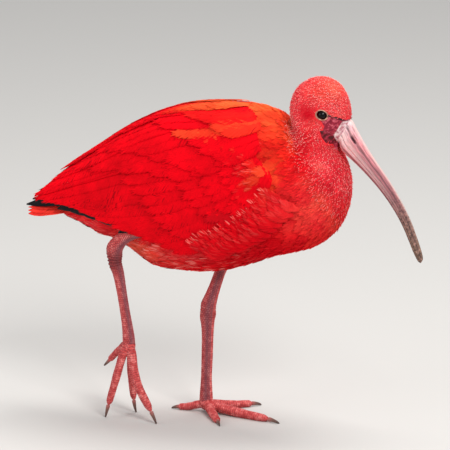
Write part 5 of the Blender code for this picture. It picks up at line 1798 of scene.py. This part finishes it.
class IBIS_OT_claws(bpy.types.Operator):
    """Makes the eight curved claws"""

    bl_idname = "ibis.claws"
    bl_label = "Claws"

    def execute(self, context):
        for side, toes in TOES.items():
            for name, (points, tip) in toes.items():
                rows = spline(points, 4)
                end, run = rows[-1, :3], unit(rows[-1, :3] - rows[-2, :3])
                radius, tip = rows[-1, 3] * 0.72, np.array(tip, float)
                start = end - run * 0.6
                bow = start + run * np.linalg.norm(tip - start) * 0.55

                def claw(turn, share, start=start, bow=bow, tip=tip, radius=radius, run=run):
                    t = np.clip(share, 0, 1)[:, None]
                    centre = (1 - t) ** 2 * start + 2 * t * (1 - t) * bow + t**2 * tip
                    ahead = unit(2 * (1 - t) * (bow - start) + 2 * t * (tip - bow))
                    across = unit(np.cross(ahead, (0.0, 0.0, 1.0)) + (1e-6, 0, 0))
                    other = np.cross(across, ahead)
                    size = (radius * (1 - share) ** 0.8 + 0.5 * share) * closed_ends(share, 30, 12)
                    wide, deep = 0.8 * size * np.cos(turn), size * np.sin(turn)
                    made = centre + across * wide[:, None] + other * deep[:, None]
                    made[:, 2] = np.maximum(made[:, 2], 0.0)
                    return made

                made = rolled(f"nail_{side}_{name}", 20, 30, claw)
                places = points_of(made)
                length = np.linalg.norm(tip - start)
                store(made.data, "share", np.clip(((places - start) @ unit(tip - start)) / length, 0, 1))
                keep_piece(made, material("claw", claw_material), "claw_horn", f"claw_{side}_{name}")
        return {"FINISHED"}


class IBIS_OT_stage(bpy.types.Operator):
    """Lays a plain pale floor, sets soft studio lights and the camera"""

    bl_idname = "ibis.stage"
    bl_label = "Stage"

    def execute(self, context):
        settings = context.scene.ibis_stage
        deselect()
        bpy.ops.mesh.primitive_plane_add(size=60, location=(0, 0, -0.0002))
        floor = context.object
        floor.name = floor.data.name = "floor"
        look, _, _ = finish_material("matt_studio_floor", Roughness=0.9, Base_Color=colour("#c9c6c1"))
        floor.data.materials.append(look)

        world = bpy.data.worlds.new("studio")
        world.use_nodes = True
        sky = world.node_tree.nodes["Background"]
        sky.inputs["Color"].default_value = colour("#e6e8ec")
        sky.inputs["Strength"].default_value = 0.68
        context.scene.world = world
        context.scene.view_settings.view_transform = "Standard"

        lamps = (
            ("key", (1.15, -1.4, 1.65), 0.8, settings.key_power),
            ("top", (0.2, 0.4, 2.0), 0.8, settings.key_power * 0.7),
            ("fill", (-1.8, -1.2, 0.8), 1.2, settings.key_power * 0.4),
        )
        for name, place, size, power in lamps:
            deselect()
            bpy.ops.object.light_add(type="AREA", location=place)
            lamp = context.object
            lamp.name = name
            lamp.data.size, lamp.data.energy = size, power
            lamp.rotation_euler = (Vector((0, 0, 0.2)) - lamp.location).to_track_quat("-Z", "Y").to_euler()

        turn, rise = CAMERA_TURN, CAMERA_RISE
        right = Vector((math.cos(turn), math.sin(turn), 0))
        up = Vector((-math.sin(turn) * math.sin(rise), math.cos(turn) * math.sin(rise), math.cos(rise)))
        back = Vector((math.sin(turn) * math.cos(rise), -math.cos(turn) * math.cos(rise), math.sin(rise)))
        target = right * CAMERA_TARGET[0] + up * CAMERA_TARGET[1] + Vector(SHIFT * MM)
        data = bpy.data.cameras.new("camera")
        data.lens, data.sensor_width, data.clip_end = settings.lens, 36, 50
        camera = bpy.data.objects.new("camera", data)
        context.scene.collection.objects.link(camera)
        placed = Matrix((right, up, back)).transposed().to_4x4()
        placed.translation = target + back * settings.distance
        camera.matrix_world = placed
        context.scene.camera = camera
        return {"FINISHED"}


class IBIS_PT_panel(bpy.types.Panel):
    """Lists the pieces of the bird"""

    bl_label = "Scarlet Ibis"
    bl_idname = "IBIS_PT_panel"
    bl_space_type = "VIEW_3D"
    bl_region_type = "UI"
    bl_category = "Ibis"

    def draw(self, context):
        layout = self.layout
        for name in ("scarlet", "coat_depth", "seed"):
            layout.prop(context.scene.ibis_plumage, name)
        for name in ("distance", "lens", "key_power"):
            layout.prop(context.scene.ibis_stage, name)
        for piece in PIECES:
            layout.operator(piece.bl_idname)


PIECES = (IBIS_OT_stage, IBIS_OT_skin, IBIS_OT_wings, IBIS_OT_tail, IBIS_OT_coat, IBIS_OT_face,
          IBIS_OT_eyes, IBIS_OT_bill, IBIS_OT_legs, IBIS_OT_claws)
CLASSES = (PlumageSettings, StageSettings, *PIECES, IBIS_PT_panel)


def register():
    for cls in CLASSES:
        bpy.utils.register_class(cls)
    bpy.types.Scene.ibis_plumage = bpy.props.PointerProperty(type=PlumageSettings)
    bpy.types.Scene.ibis_stage = bpy.props.PointerProperty(type=StageSettings)


def unregister():
    del bpy.types.Scene.ibis_stage
    del bpy.types.Scene.ibis_plumage
    for cls in reversed(CLASSES):
        bpy.utils.unregister_class(cls)


def main():
    register()
    bpy.ops.ibis.stage()
    bpy.ops.ibis.skin()
    bpy.ops.ibis.wings()
    bpy.ops.ibis.tail()
    bpy.ops.ibis.coat()
    bpy.ops.ibis.face()
    bpy.ops.ibis.eyes()
    bpy.ops.ibis.bill()
    bpy.ops.ibis.legs()
    bpy.ops.ibis.claws()


if __name__ == "__main__":
    main()
